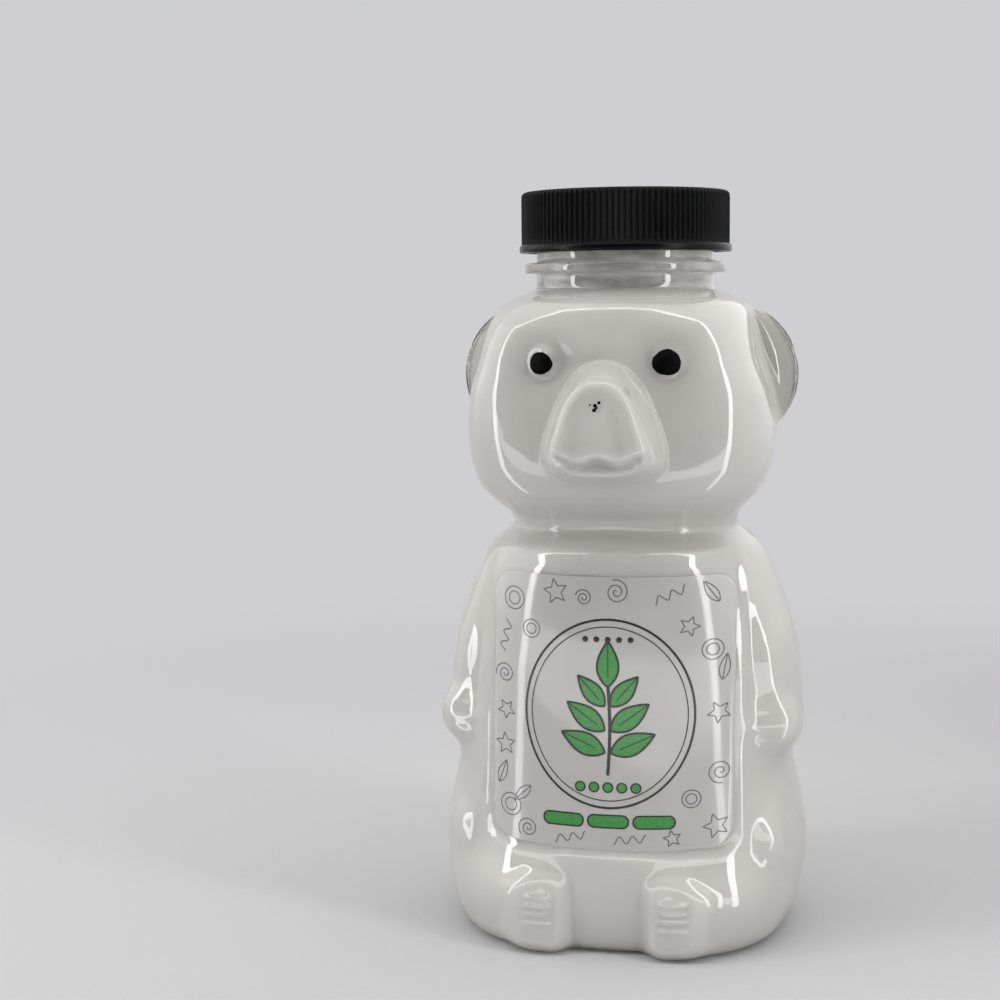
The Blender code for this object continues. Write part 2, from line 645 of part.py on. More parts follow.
def make_label(parts, axis, name, turned, colour):
    """Film label laid in its panel: an open sheet on the panel's skin, given its thickness."""
    across, up = label_points()
    along = front_face(across, up)
    if turned:
        along = -along * np.interp(up, STATIONS[3:, 0], STATIONS[3:, 3] / STATIONS[3:, 2])
        across = -across
    points = np.stack([across, along, up], axis=2)
    out = points * np.array([1, 1, 0])
    out = out / np.linalg.norm(out, axis=2, keepdims=True)
    points = points + out * CLEARANCE
    rows, columns = across.shape
    faces = [
        (r * columns + c, r * columns + c + 1, (r + 1) * columns + c + 1, (r + 1) * columns + c)
        for r in range(rows - 1)
        for c in range(columns - 1)
    ]
    mesh = bpy.data.meshes.new(name)
    mesh.from_pydata([tuple(point) for point in points.reshape(-1, 3)], [], faces)
    label = place(bpy.data.objects.new(name, mesh), parts, axis, material(f"{name} film", colour, 0.35))
    thicken(label, LABEL_THICKNESS)
    return label


def thicken(obj, thickness):
    """Give an open sheet its thickness on its outer side."""
    modifier = obj.modifiers.new("thickness", "SOLIDIFY")
    modifier.thickness = thickness
    modifier.offset = 1
    modifier.use_rim = True


def make_eye(parts, axis, name, middle):
    """Dot of black ink on an eye: a thin round patch that follows the skin."""
    turn = np.linspace(0, 2 * math.pi, EYE_SEGMENTS, endpoint=False)
    reach = PUPIL_RADIUS * np.array([[1 / 2], [1]])
    across = np.append(middle + (reach * np.cos(turn)).ravel(), middle)
    up = np.append(EYE_HEIGHT + (reach * np.sin(turn)).ravel(), EYE_HEIGHT)
    points = np.stack([across, front_face(across, up) - INK_GAP, up], axis=1)
    faces = []
    for spoke in range(EYE_SEGMENTS):
        beside = (spoke + 1) % EYE_SEGMENTS
        faces.append((2 * EYE_SEGMENTS, spoke, beside))
        faces.append((spoke, spoke + EYE_SEGMENTS, beside + EYE_SEGMENTS, beside))
    mesh = bpy.data.meshes.new(name)
    mesh.from_pydata(points.tolist(), [], faces)
    eye = place(bpy.data.objects.new(name, mesh), parts, axis, material(f"{name} ink", "#0B0B0C", 0.35))
    thicken(eye, INK_THICKNESS)


def make_cap(parts, guides, axis):
    """Ribbed cap: a fluted shell with a plain band at its foot, and the thread inside."""
    count = 2 * RIB_COUNT
    angles = np.linspace(0, 2 * math.pi, count, endpoint=False)
    valley = np.arange(count) % 2
    band_top = CAP_BOTTOM + CAP_FLANGE_HEIGHT
    sections = (
        (CAP_FLANGE_RADIUS, 0, CAP_BOTTOM),
        (CAP_FLANGE_RADIUS, 0, band_top),
        (CAP_RADIUS, RIB_DEPTH, band_top),
        (CAP_RADIUS, RIB_DEPTH, CAP_TOP - CAP_EDGE),
        (CAP_RADIUS - CAP_EDGE, 0, CAP_TOP),
    )
    rings = [ring(radius - depth * valley, height, angles) for radius, depth, height in sections]
    look = material("black polypropylene", "#17181A", 0.42)
    cap = place(loft("screw_cap", np.array(rings)), parts, axis, look)

    depth = CAP_INSIDE_TOP - CAP_BOTTOM + OVERRUN
    middle = CAP_INSIDE_TOP - depth / 2
    bpy.ops.mesh.primitive_cylinder_add(
        vertices=ROUND_SEGMENTS, radius=CAP_BORE_RADIUS, depth=depth, location=(0, 0, middle)
    )
    bore = take_active("cap_bore_cutter", guides, axis)
    join(cap, bore, "DIFFERENCE")

    lowest = THREAD_BOTTOM - (THREAD_ROOT_WIDTH + THREAD_TIP_WIDTH) / 2 - THREAD_FLANK_GAP
    start_turn = 2 * math.pi * (CAP_THREAD_BOTTOM - lowest) / THREAD_PITCH
    ends = CAP_THREAD_BOTTOM, CAP_THREAD_TURNS
    helix = thread("cap_thread", CAP_BORE_RADIUS, CAP_THREAD_RADIUS, *ends, start_turn)
    join(cap, place(helix, guides, axis), "UNION")
    return cap


def take_active(name, collection, parent):
    """Move the primitive just added out of the scene's collection and under the axis."""
    obj = bpy.context.active_object
    obj.name = name
    obj.data.name = name
    for holder in list(obj.users_collection):
        holder.objects.unlink(obj)
    return place(obj, collection, parent)


def make_liner(parts, axis):
    """Foam disc between the cap's top and the bottle's lip."""
    bpy.ops.mesh.primitive_cylinder_add(
        vertices=ROUND_SEGMENTS,
        radius=CAP_BORE_RADIUS - LINER_RIM_GAP,
        depth=LINER_THICKNESS,
        location=(0, 0, LINER_BOTTOM + LINER_THICKNESS / 2),
    )
    liner = take_active("cap_liner", parts, axis)
    liner.data.materials.append(material("white foam", "#ECEBE6", 0.8))
    return liner


def main():
    for obj in list(bpy.data.objects):
        bpy.data.objects.remove(obj)
    parts = bpy.data.collections.new("bear_bottle")
    guides = bpy.data.collections.new("bear_bottle cutters")
    for collection in (parts, guides):
        bpy.context.scene.collection.children.link(collection)
    axis = bpy.data.objects.new("neck_axis", None)
    axis.location = (0, AXIS_SETBACK, 0)
    parts.objects.link(axis)

    make_bottle(parts, guides, axis)
    make_glue(parts, axis)
    make_label(parts, axis, "front_label", False, "#E3E4E7")
    make_label(parts, axis, "back_label", True, "#E6E7E9")
    for name, side in (("eye_left", -1), ("eye_right", 1)):
        make_eye(parts, axis, name, side * EYE_SPREAD)
    make_cap(parts, guides, axis)
    make_liner(parts, axis)
    bpy.context.view_layer.update()


main()
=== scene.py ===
"""Clear bear-shaped bottle of white craft glue with a ribbed black screw cap.

Every piece is a surface of two parameters worked out as whole arrays: the skin of the bear by row
and angle, turned profiles by place and angle, and printed lines and patches laid on the skin.
Lengths are metres, the bear looks along -Y and stands at z = 0.
"""
import math
from typing import NamedTuple

import bpy
import numpy as np
from bpy.props import FloatProperty, FloatVectorProperty, IntProperty, PointerProperty
from mathutils import Matrix, Vector


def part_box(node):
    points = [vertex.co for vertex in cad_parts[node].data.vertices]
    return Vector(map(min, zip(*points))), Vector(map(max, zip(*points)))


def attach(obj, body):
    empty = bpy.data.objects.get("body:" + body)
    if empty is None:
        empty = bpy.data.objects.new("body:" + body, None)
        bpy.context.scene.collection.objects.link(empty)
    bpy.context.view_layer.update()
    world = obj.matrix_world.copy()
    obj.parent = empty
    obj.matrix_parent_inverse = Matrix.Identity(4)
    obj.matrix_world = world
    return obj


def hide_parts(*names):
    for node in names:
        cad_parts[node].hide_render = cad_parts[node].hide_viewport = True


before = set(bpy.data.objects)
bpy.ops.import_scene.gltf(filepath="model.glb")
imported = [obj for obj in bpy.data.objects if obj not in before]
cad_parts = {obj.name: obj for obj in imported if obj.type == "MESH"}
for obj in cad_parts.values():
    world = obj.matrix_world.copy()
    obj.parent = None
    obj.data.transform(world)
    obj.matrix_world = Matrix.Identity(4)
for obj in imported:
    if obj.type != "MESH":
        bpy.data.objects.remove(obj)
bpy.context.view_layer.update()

bl_info = {
    "name": "Bear glue bottle",
    "version": (1, 0, 0),
    "blender": (4, 5, 0),
    "location": "View3D > Sidebar > Bear bottle",
    "description": "Builds a clear bear-shaped bottle of white glue with a ribbed screw cap",
    "category": "Object",
}

# Whole bottle: the body's driving sizes, and how far the neck's axis stands behind the origin
BODY_HEIGHT = 0.1245
HALF_WIDTH = 0.0342
HALF_DEPTH = 0.0306
CAP_LOW, CAP_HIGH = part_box("screw_cap")
LINER_LOW, LINER_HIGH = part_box("cap_liner")
AXIS_BACK = (CAP_LOW.y + CAP_HIGH.y) / 2

# Muzzle and nose: height of the middle, half width and half height, and reach
MUZZLE_UP = 0.1008
MUZZLE_SIZE = (0.0106, 0.0118)
MUZZLE_REACH = 0.0088
MUZZLE_TAPER = 0.42
MUZZLE_TILT = 0.04
MUZZLE_FLANK = 0.38
MUZZLE_UNDERCUT = 0.15
UNDERCUT_PACE = 1.6
MUZZLE_SQUARE = 2.6
NOSE_UP = 0.1014
NOSE_SIZE = (0.0044, 0.0048)
NOSE_REACH = 0.0009
NOSE_FLANK = 0.8
NOSE_FADE = 4

# Mouth: an m-shaped wave, the step under it, its rolled edge and the lower lip
MOUTH_UP = 0.0947
MOUTH_HALF = 0.0078
MOUTH_CORNER = 0.4
LIP_WAVE = 0.0011
LIP_DROOP = 0.7
LIP_STEP = 0.0024
LIP_EDGE = 0.0014
ROLL_UP = 0.0012
ROLL_HALF = 0.0022
ROLL_RISE = 0.00035
LOWER_LIP_UP = 0.0918
LOWER_LIP_SIZE = (0.0080, 0.0024)
LOWER_LIP_REACH = 0.0013

# Eyes and brows: a brow runs from its inner to its outer end, each across and up
EYE_UP = 0.1120
EYE_SPREAD = 0.0113
EYE_RADIUS = 0.0039
EYE_BULGE = 0.0020
SOCKET_RADIUS = 0.0088
SOCKET_DEPTH = 0.0016
BROW_INNER = (0.0034, 0.1150)
BROW_OUTER = (0.0125, 0.1177)
BROW_HALF = 0.0042
BROW_RISE = 0.0004

# Ears, which stand out between a front and a back depth
EAR_UP = 0.1084
EAR_RADIUS = 0.0142
EAR_OUT = 0.03331
EAR_FRONT = 0.0012
EAR_BACK = 0.0084
EAR_DISH = 0.0016
EAR_RIM = 0.0048
EAR_ROUND = 0.4
EAR_STATION = 24

# Arms with a crease along them, and ribbed paws
ARM_ANGLE = math.radians(87)
ARM_TOP = 0.0775
ARM_TOP_RUN = 0.024
ARM_BOTTOM = 0.0365
ARM_BOTTOM_RUN = 0.008
ARM_HALF = 0.0185
ARM_EDGE = 0.0066
ARM_BULGE = 0.0030
CREASE_ANGLE = math.radians(61)
CREASE_HALF = 0.0030
CREASE_RISE = 0.0005
CREASE_TOP_RUN = 0.006
CREASE_BOTTOM = 0.0480
CREASE_BOTTOM_RUN = 0.008
PAW_ANGLE = math.radians(67)
PAW_UP = 0.0430
PAW_SIZE = (0.0100, 0.0070)
PAW_BULGE = 0.0020
FINGER_PITCH = 0.0036
FINGER_DEPTH = 0.0004
FINGER_FORWARD = 0.0050
FINGER_HALF = 0.0036
FINGER_RUN = 0.0038
FINGER_REACH = 1.6

# Thighs, knees and shins
THIGH_UP = 0.0195
THIGH_SIZE = (0.0220, 0.0190)
THIGH_EDGE = 0.0120
THIGH_BULGE = 0.0018
KNEE_ANGLE = math.radians(61)
KNEE_UP = 0.0210
KNEE_SIZE = (0.0046, 0.0066)
KNEE_BULGE = 0.0014
SHIN_TOP = 0.0205
SHIN_ROUND = 0.0115
SHIN_BULGE = 0.0034
SHIN_INNER = (math.radians(13), math.radians(10))
SHIN_OUTER = (math.radians(84), math.radians(42))

# Feet, and the short level ridges on their soles
FOOT_SPREAD = 0.0122
FOOT_HALF = 0.0064
FOOT_TOP = 0.0175
FOOT_CORNER = 0.0048
FOOT_EDGE = 0.0036
FOOT_SPLAY = 1.7
SPLAY_START = 0.2
FOOT_DIP = 0.0012
SOLE_REACH = 0.0294
SOLE_MARKS = (0.0062, 0.0079, 0.0096, 0.0113)
SOLE_MARK_ASIDE = 0.0006
SOLE_MARK_HALF = 0.0027
SOLE_MARK_END = 0.0004
SOLE_MARK_THICK = 0.0005
SOLE_MARK_RISE = 0.00045

# Label panels, and the film laid in them
PANEL_BOTTOM = 0.0195
PANEL_TOP = 0.0765
PANEL_HALF = 0.0250
PANEL_EDGE = 0.0018
PANEL_DEPTH = 0.0007
FILM_BOTTOM = 0.0213
FILM_TOP = 0.0723
FILM_ASIDE = 0.0006
FILM_HALF = 0.0228
FILM_CORNER = 0.0040
FILM_MIDDLE = (FILM_BOTTOM + FILM_TOP) / 2
FILM_GAP = 0.00003

# Neck finish and its thread
NECK_RADIUS = 0.0173
BORE_RADIUS = 0.0156
NECK_FILLET = 0.0014
BEAD_RADIUS = 0.0196
BEAD_BOTTOM = 0.1281
BEAD_TOP = 0.1301
BEAD_CORNER = 0.0006
BEAD_ROOT = 0.0003
LIP_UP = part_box("bottle")[1].z
LIP_CORNERS = (0.0004, 0.0003)
BORE_HEIGHTS = (0.1385, 0.1355, 0.1325, 0.1300, 0.1285, 0.1273)
THREAD_PITCH = 0.004233
THREAD_DEPTH = 0.0013
THREAD_BOTTOM = 0.1334
THREAD_TURNS = 1.252
THREAD_HALVES = (0.0011, 0.0005)
THREAD_FADE = math.radians(25)
THREAD_THINNEST = 0.1

# Screw cap, its inner thread and the liner
CAP_BOTTOM = CAP_LOW.z
CAP_TOP = CAP_HIGH.z
CAP_RADIUS = 0.0202
CAP_BAND_RADIUS = CAP_HIGH.x
CAP_BAND_TOP = 0.1335
CAP_EDGE = 0.0009
CAP_BORE = 0.0189
CAP_INSIDE_TOP = 0.1425
CAP_THREAD_TIP = 0.0177
CAP_THREAD_BOTTOM = 0.1333
CAP_THREAD_TURNS = 1.11
THREAD_PLAY = 0.0003
RIB_STEPS = 8
RIB_ROUND = 1.6
LINER_BOTTOM = LINER_LOW.z
LINER_TOP = LINER_HIGH.z
LINER_RADIUS = LINER_HIGH.x
LINER_CORNER = 0.0002
LINER_HOLE = 0.0008
DENT_DEPTH = 0.00012
DENT_HALF = 0.0011

# Top of the cap from its rim inwards, recessed, with a raised mark in the middle: radius, and how far
# below the top it lies
CAP_DISC = (
    (0.0182, 0),
    (0.0180, 0.00006),
    (0.0176, 0.0002),
    (0.0165, 0.0002),
    (0.0120, 0.0002),
    (0.0070, 0.0002),
    (0.0030, 0.0002),
    (0.0016, 0.0002),
    (0.0012, 0.0001),
    (0.0006, 0.00008),
)

# Inside of the neck, from the shoulder up: heights, and the radius at each
NECK_INSIDE = (
    (0.1236, 0.12427, 0.1259, 0.1273, 0.1500),
    (0.0187, 0.01707, 0.0164, BORE_RADIUS, BORE_RADIUS),
)

# Meniscus of the glue, from the wall to the middle: how much of its climb each ring has, and how far
# the rings after the crest stand in from it
MENISCUS_CLIMB = (0, 0.6, 1.0, 0.97, 0.5, 0.16, 0.03, 0, 0)
MENISCUS_INSETS = (0.0003, 0.0005, 0.0010, 0.0022, 0.005, 0.010)

# Dried glue up the inside of the neck
RESIDUE_BOTTOM = 0.1241
RESIDUE_TOP = 0.1399
RESIDUE_FACES = (0.00006, 0.00022)

# The glue's skin reaches this far into the wall, so no air shows between them
WETTING = 0.0003

# Stations of the body from the middle of the base up to the neck: height as a share of the body
# height, half width as a share of half the bear's width, reach to the front and to the back as
# shares of half its depth, and how square the section is (2 is round).
STATION_SHARES = (
    (0.012, 0.23, 0.22, 0.24, 2.0),
    (0.012, 0.52, 0.48, 0.52, 2.0),
    (0.000, 0.62, 0.57, 0.62, 2.1),
    (0.000, 0.84, 0.77, 0.84, 2.2),
    (0.007, 0.91, 0.83, 0.90, 2.2),
    (0.024, 0.960, 0.87, 0.94, 2.2),
    (0.064, 0.995, 0.905, 0.98, 2.2),
    (0.130, 1.000, 0.935, 1.00, 2.2),
    (0.195, 0.978, 0.945, 1.00, 2.2),
    (0.260, 0.956, 0.947, 0.99, 2.2),
    (0.360, 0.936, 0.947, 0.975, 2.2),
    (0.480, 0.892, 0.933, 0.94, 2.2),
    (0.546, 0.850, 0.918, 0.90, 2.2),
    (0.588, 0.805, 0.897, 0.855, 2.2),
    (0.611, 0.752, 0.850, 0.790, 2.2),
    (0.626, 0.685, 0.765, 0.720, 2.2),
    (0.641, 0.640, 0.680, 0.680, 2.2),
    (0.657, 0.655, 0.690, 0.695, 2.4),
    (0.675, 0.714, 0.765, 0.760, 2.8),
    (0.703, 0.795, 0.860, 0.847, 3.2),
    (0.740, 0.838, 0.893, 0.885, 3.5),
    (0.787, 0.852, 0.902, 0.898, 3.7),
    (0.843, 0.832, 0.902, 0.895, 4.1),
    (0.900, 0.764, 0.897, 0.880, 4.5),
    (0.948, 0.724, 0.880, 0.850, 3.8),
    (0.974, 0.692, 0.852, 0.815, 2.9),
    (0.988, 0.640, 0.785, 0.745, 2.5),
)
SIDE_STATION = 3

# Millimetres between rows of the skin: height, outer side, and inside of the wall, where glue hides it
ROW_SPACING = (
    (0, 0.50, 0.85),
    (19, 0.50, 0.85),
    (23, 1.00, 2.20),
    (34, 1.00, 2.20),
    (37, 0.60, 1.20),
    (46, 0.60, 1.20),
    (50, 1.10, 2.80),
    (73, 1.10, 2.80),
    (77, 0.70, 1.20),
    (84, 0.60, 1.20),
    (88, 0.45, 0.70),
    (98, 0.45, 0.70),
    (101, 0.50, 0.80),
    (112, 0.50, 0.80),
    (115, 0.60, 1.40),
    (126, 0.50, 1.40),
)
PITCH_HEIGHTS, PITCHES, INNER_PITCHES = np.array(ROW_SPACING).T / 1000

# Columns of half the skin: over the face, on to the ear, over the ear and on to the middle of the back
FACE_END = math.radians(37)
EAR_MARGIN = 0.0003
COLUMN_COUNTS = (43, 32, 16, 19)

# Small steps over the skin, by row and by angle, and how its angles are searched
ROW_STEP = 0.0001
ANGLE_STEP = 0.0015
SEARCH_ROUNDS = 14
WIDEST_SINE = 0.98
FACE_FADE = 0.3

# Camera, as fitted to the photograph: it stands this far round to the bear's left
VIEW_TURN = math.radians(12.2)
VIEW_PITCH = math.radians(6.53)
VIEW_ROLL = math.radians(0.57)
VIEW_DISTANCE = 0.354
VIEW_HEIGHT = 0.1243
VIEW_ASIDE = 0.0249
LENS = 64.8

# Light tent: its four sides about the neck axis, seen from the camera, its half height, the depth of
# its lit edges, and how bright the cloths hang at the foot
TENT_NEAR = 0.17
TENT_FAR = -0.45
TENT_LEFT = -0.493
TENT_RIGHT = 0.176
TENT_HALF_HEIGHT = 0.23
EDGE_DEPTHS = {"left": 0.030, "right": 0.017, "top": 0.022}
APRON_HALF = 0.021
EDGE_FOOT = 0.8
WALL_FOOT = 0.4

# Strips on the floor below the lit edges: where each points to, and how near to it it starts
STRIP_SPOTS = {"left": (-0.014, -0.0267, 0.134), "right": (0.017, -0.026, 0.32)}
STRIP_LEVEL = 0.6
STRIP_LIFT = 0.0004


def linear(code):
    """Linear colour from an 8-bit sRGB hex code."""
    channels = np.array([int(code[k : k + 2], 16) / 255 for k in (1, 3, 5)])
    return tuple(np.where(channels <= 0.04045, channels / 12.92, ((channels + 0.055) / 1.055) ** 2.4))


def length(name, description, default, least=0.0):
    """Property for a length."""
    return FloatProperty(name=name, description=description, default=default, min=least, unit="LENGTH")


def tint(name, description, code):
    """Property for a colour, from its hex code."""
    return FloatVectorProperty(name=name, description=description, default=linear(code), subtype="COLOR")


def level(name, description, default):
    """Property for a strength of light."""
    return FloatProperty(name=name, description=description, default=default, min=0.0)


class BearBottleSizes(bpy.types.PropertyGroup):
    """Sizes that change how the bottle looks without moving its joints."""

    wall: length("Wall", "Thickness of the blown wall", 0.0009, 0.0004)
    fill_level: length("Glue level", "Height of the glue above the table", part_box("glue_fill")[1].z)
    film: length("Film", "Thickness of the label film", 0.00008, 0.00002)
    ink: length("Ink", "How far printed ink stands up", 0.00002, 0.000005)
    paint: length("Paint", "Thickness of the eye paint", 0.00012, 0.00002)
    rib_count: IntProperty(name="Ribs", description="Number of ribs round the cap", default=114, min=24)
    rib_depth: length("Rib depth", "Depth of the grooves between ribs", 0.0004)
    waves: length("Wall waves", "Height of the soft waves in the blown wall", 0.00016)


class BearBottleColours(bpy.types.PropertyGroup):
    """Colours of the finishes, in linear light."""

    polyester: tint("Polyester", "Clear wall", "#F8F8F7")
    glue: tint("Glue", "White glue", "#F0EEEA")
    residue: tint("Residue", "Thin glue left inside the neck", "#E2E0DC")
    film: tint("Film", "Label film", "#C4C2BF")
    green: tint("Green ink", "Leaves", "#3A8C40")
    black: tint("Black ink", "Outlines and eye paint", "#0C0C0D")
    grey: tint("Grey ink", "Fine line motifs", "#6C6D70")
    cap: tint("Cap", "Screw cap", "#07080A")
    foam: tint("Foam", "Liner in the cap", "#ECEBE6")
    floor: tint("Floor", "Background paper", "#BDBDBF")
    backdrop: tint("Backdrop", "Even ground behind the bottle", "#CFCFD2")


class BearBottleLights(bpy.types.PropertyGroup):
    """Strengths of the soft light round the bottle."""

    left: level("Left wall", "Soft wall on the left", 1.8)
    right: level("Right wall", "Soft wall on the right", 1.35)
    top: level("Ceiling", "Soft ceiling", 1.05)
    opening: level("Opening", "Dim opening in front", 0.10)
    apron: level("Apron", "Lit cloth below the opening", 2.8)
    edges: level("Edges", "Bright edges of the opening", 11.0)
    air: level("Air", "Light from everywhere else", 1.0)


# Curves and fields


def ease(share):
    """Smooth step: 3 s^2 - 2 s^3 between 0 and 1, held outside them."""
    share = np.clip(share, 0, 1)
    return share * share * (3 - 2 * share)


def ramp(share, bend=0.3):
    """Straight ramp from 0 to 1 with a parabola over each end."""
    share = np.clip(share, 0, 1)
    scale = 2 * bend * (1 - bend)
    middle = (share - bend / 2) / (1 - bend)
    late = 1 - (1 - share) ** 2 / scale
    return np.where(share < bend, share**2 / scale, np.where(share > 1 - bend, late, middle))


def mound(distance):
    """(1 - d^2)^2 inside distance 1, and nothing outside."""
    return np.clip(1 - distance * distance, 0, 1) ** 2


def smooth_curve(knots, values, places):
    """Cubic through the knots with harmonic-mean slopes, so it never overshoots a value."""
    steps = np.diff(knots)[:, None]
    slopes = np.diff(values, axis=0) / steps
    before, after = slopes[:-1], slopes[1:]
    weight_before, weight_after = 2 * steps[1:] + steps[:-1], steps[1:] + 2 * steps[:-1]
    same_way = before * after > 0
    safe_before, safe_after = np.where(same_way, before, 1), np.where(same_way, after, 1)
    mean = (weight_before + weight_after) / (weight_before / safe_before + weight_after / safe_after)
    tangents = np.vstack([slopes[:1], np.where(same_way, mean, 0), slopes[-1:]])
    index = np.clip(np.searchsorted(knots, places, side="right") - 1, 0, len(steps) - 1)
    step = steps[index]
    share = (places[:, None] - np.asarray(knots)[index][:, None]) / step
    rise = share * share * (3 - 2 * share)
    leave, arrive = share * (1 - share) ** 2, share * share * (share - 1)
    bent = step * (tangents[index] * leave + tangents[index + 1] * arrive)
    return values[index] * (1 - rise) + values[index + 1] * rise + bent


def body_stations():
    """Stations in metres, with a quarter circle of round ones for the fillet under the neck."""
    sizes = np.array([BODY_HEIGHT, HALF_WIDTH, HALF_DEPTH, HALF_DEPTH, 1])
    turn = np.array([0, math.pi / 4, math.pi / 2])
    radius = NECK_RADIUS + NECK_FILLET * (1 - np.sin(turn))
    height = BODY_HEIGHT + NECK_FILLET * (1 - np.cos(turn))
    fillet = np.stack([height, radius, radius, radius, np.full(3, 2.0)], axis=1)
    return np.vstack([np.array(STATION_SHARES) * sizes, fillet])


STATIONS = body_stations()
PLACES = np.concatenate([[0], np.cumsum(np.hypot(np.diff(STATIONS[:, 0]), np.diff(STATIONS[:, 1])))])
SIDE_START = PLACES[SIDE_STATION]


def muzzle_field(across, up, inset=0.0):
    """Muzzle: a ramp up the flank of a tilted superellipse, plus the nose, stepping back under the lip.

    The upper lip's rolled edge is an m-shaped wave, d s^2 - sin^2(pi s) by the share s of the way to
    the mouth's corner; the lower lip is a flat mound under it.
    """
    up_share = (up - MUZZLE_UP) / (MUZZLE_SIZE[1] - inset)
    half_width = (MUZZLE_SIZE[0] - inset) * (1 - MUZZLE_TAPER * np.clip(up_share, -1, 1))
    ring = np.abs(across / half_width) ** MUZZLE_SQUARE + np.abs(up_share) ** MUZZLE_SQUARE
    flank = MUZZLE_FLANK - MUZZLE_UNDERCUT * ease(-UNDERCUT_PACE * up_share)
    inside = (1 - ring ** (1 / MUZZLE_SQUARE)) / flank
    reach = MUZZLE_REACH * (1 - MUZZLE_TILT * np.clip(-up_share, 0, 1)) * ramp(inside)

    nose_up = (up - NOSE_UP) / NOSE_SIZE[1]
    nose_ring = np.hypot(across / NOSE_SIZE[0], np.clip(nose_up, 0, None))
    reach = reach + NOSE_REACH * ramp((1 - nose_ring) / NOSE_FLANK) * ease(1 + nose_up / NOSE_FADE)

    side = np.abs(across) / MOUTH_HALF
    corner = ease((1 - side) / MOUTH_CORNER + 0.5)
    over_lip = up - MOUTH_UP - LIP_WAVE * (LIP_DROOP * side**2 - np.sin(np.pi * np.clip(side, 0, 1)) ** 2)
    below_lip = ease(0.5 - over_lip / LIP_EDGE) * corner
    roll = mound((over_lip - ROLL_UP) / ROLL_HALF) * corner
    lower = mound(np.hypot(across / LOWER_LIP_SIZE[0], (up - LOWER_LIP_UP) / LOWER_LIP_SIZE[1]))
    return reach + (ROLL_RISE * roll - LIP_STEP * below_lip) * ease(inside) + LOWER_LIP_REACH * lower


def eye_field(across, up):
    """Round bulge of each eye in a wider shallow socket, under a slanting brow ridge."""
    side = np.abs(across)
    distance = np.hypot(side - EYE_SPREAD, up - EYE_UP)
    start, end = np.array(BROW_INNER), np.array(BROW_OUTER)
    run = end - start
    share = ((side - start[0]) * run[0] + (up - start[1]) * run[1]) / (run @ run)
    share = np.clip(share, 0, 1)
    from_brow = np.hypot(side - start[0] - share * run[0], up - start[1] - share * run[1])
    brow = BROW_RISE * mound(from_brow / BROW_HALF)
    return EYE_BULGE * mound(distance / EYE_RADIUS) - SOCKET_DEPTH * mound(distance / SOCKET_RADIUS) + brow


def panel_field(across, up):
    """1 inside the rounded label panel, easing to 0 across its edge."""
    side = (np.abs(across) - PANEL_HALF) / PANEL_EDGE
    middle = (PANEL_TOP + PANEL_BOTTOM) / 2
    end = (np.abs(up - middle) - (PANEL_TOP - PANEL_BOTTOM) / 2) / PANEL_EDGE
    corner = FILM_CORNER / PANEL_EDGE
    over = np.hypot(np.clip(side + corner, 0, None), np.clip(end + corner, 0, None)) - corner
    return ease(-np.maximum(over, np.maximum(side, end)))


def limb_field(angle, up):
    """Outward bulge of creased arms, ribbed paws, thighs, knees and shins, by angle from the front.

    Arms and shins are products of eased edges, paws and knees mounds of an ellipse, and the fingers a
    cosine wave up the paw.
    """
    turn = np.abs(angle)
    from_arm = np.abs(turn - ARM_ANGLE) * HALF_WIDTH
    arm = ease((ARM_HALF - from_arm) / ARM_EDGE) * ease((ARM_TOP - up) / ARM_TOP_RUN)
    arm = arm * ease((up - ARM_BOTTOM) / ARM_BOTTOM_RUN + 0.5)
    crease = mound((turn - CREASE_ANGLE) * HALF_WIDTH / CREASE_HALF)
    crease = crease * ease((ARM_TOP - up) / CREASE_TOP_RUN) * ease((up - CREASE_BOTTOM) / CREASE_BOTTOM_RUN)
    paw_along = (turn - PAW_ANGLE) * HALF_WIDTH
    paw = mound(np.hypot(paw_along / PAW_SIZE[0], (up - PAW_UP) / PAW_SIZE[1]))
    finger = 0.5 - 0.5 * np.cos(2 * np.pi * (up - PAW_UP) / FINGER_PITCH)
    finger = finger * mound((paw_along + FINGER_FORWARD) / FINGER_HALF)
    finger = finger * ease(FINGER_REACH - np.abs(up - PAW_UP) / FINGER_RUN)
    thigh = ramp((THIGH_SIZE[0] - from_arm) / THIGH_EDGE) * mound((up - THIGH_UP) / THIGH_SIZE[1])
    knee = np.hypot((turn - KNEE_ANGLE) * HALF_WIDTH / KNEE_SIZE[0], (up - KNEE_UP) / KNEE_SIZE[1])
    shin = ease((SHIN_TOP - up) / SHIN_ROUND) * ease((turn - SHIN_INNER[0]) / SHIN_INNER[1])
    shin = shin * ease((SHIN_OUTER[0] - turn) / SHIN_OUTER[1])
    return (
        ARM_BULGE * arm
        + CREASE_RISE * crease
        + PAW_BULGE * paw
        - FINGER_DEPTH * finger
        + THIGH_BULGE * thigh
        + KNEE_BULGE * mound(knee)
        + SHIN_BULGE * shin
    )


def foot_field(across, up, inset=0.0):
    """1 on the two soles, easing to 0 past their rounded edges and slowly out along the legs."""
    aside = np.abs(across) - FOOT_SPREAD
    splay = 1 + (FOOT_SPLAY - 1) * ease((FOOT_TOP - up) / FOOT_CORNER - SPLAY_START) * (aside > 0)
    side = np.clip(np.abs(aside) - FOOT_HALF + FOOT_CORNER, 0, None) / splay
    end = FOOT_CORNER + np.maximum(up - FOOT_TOP, -FOOT_DIP - up)
    over = np.hypot(side, np.clip(end, 0, None))
    return ramp((FOOT_CORNER - inset - over) / FOOT_EDGE)


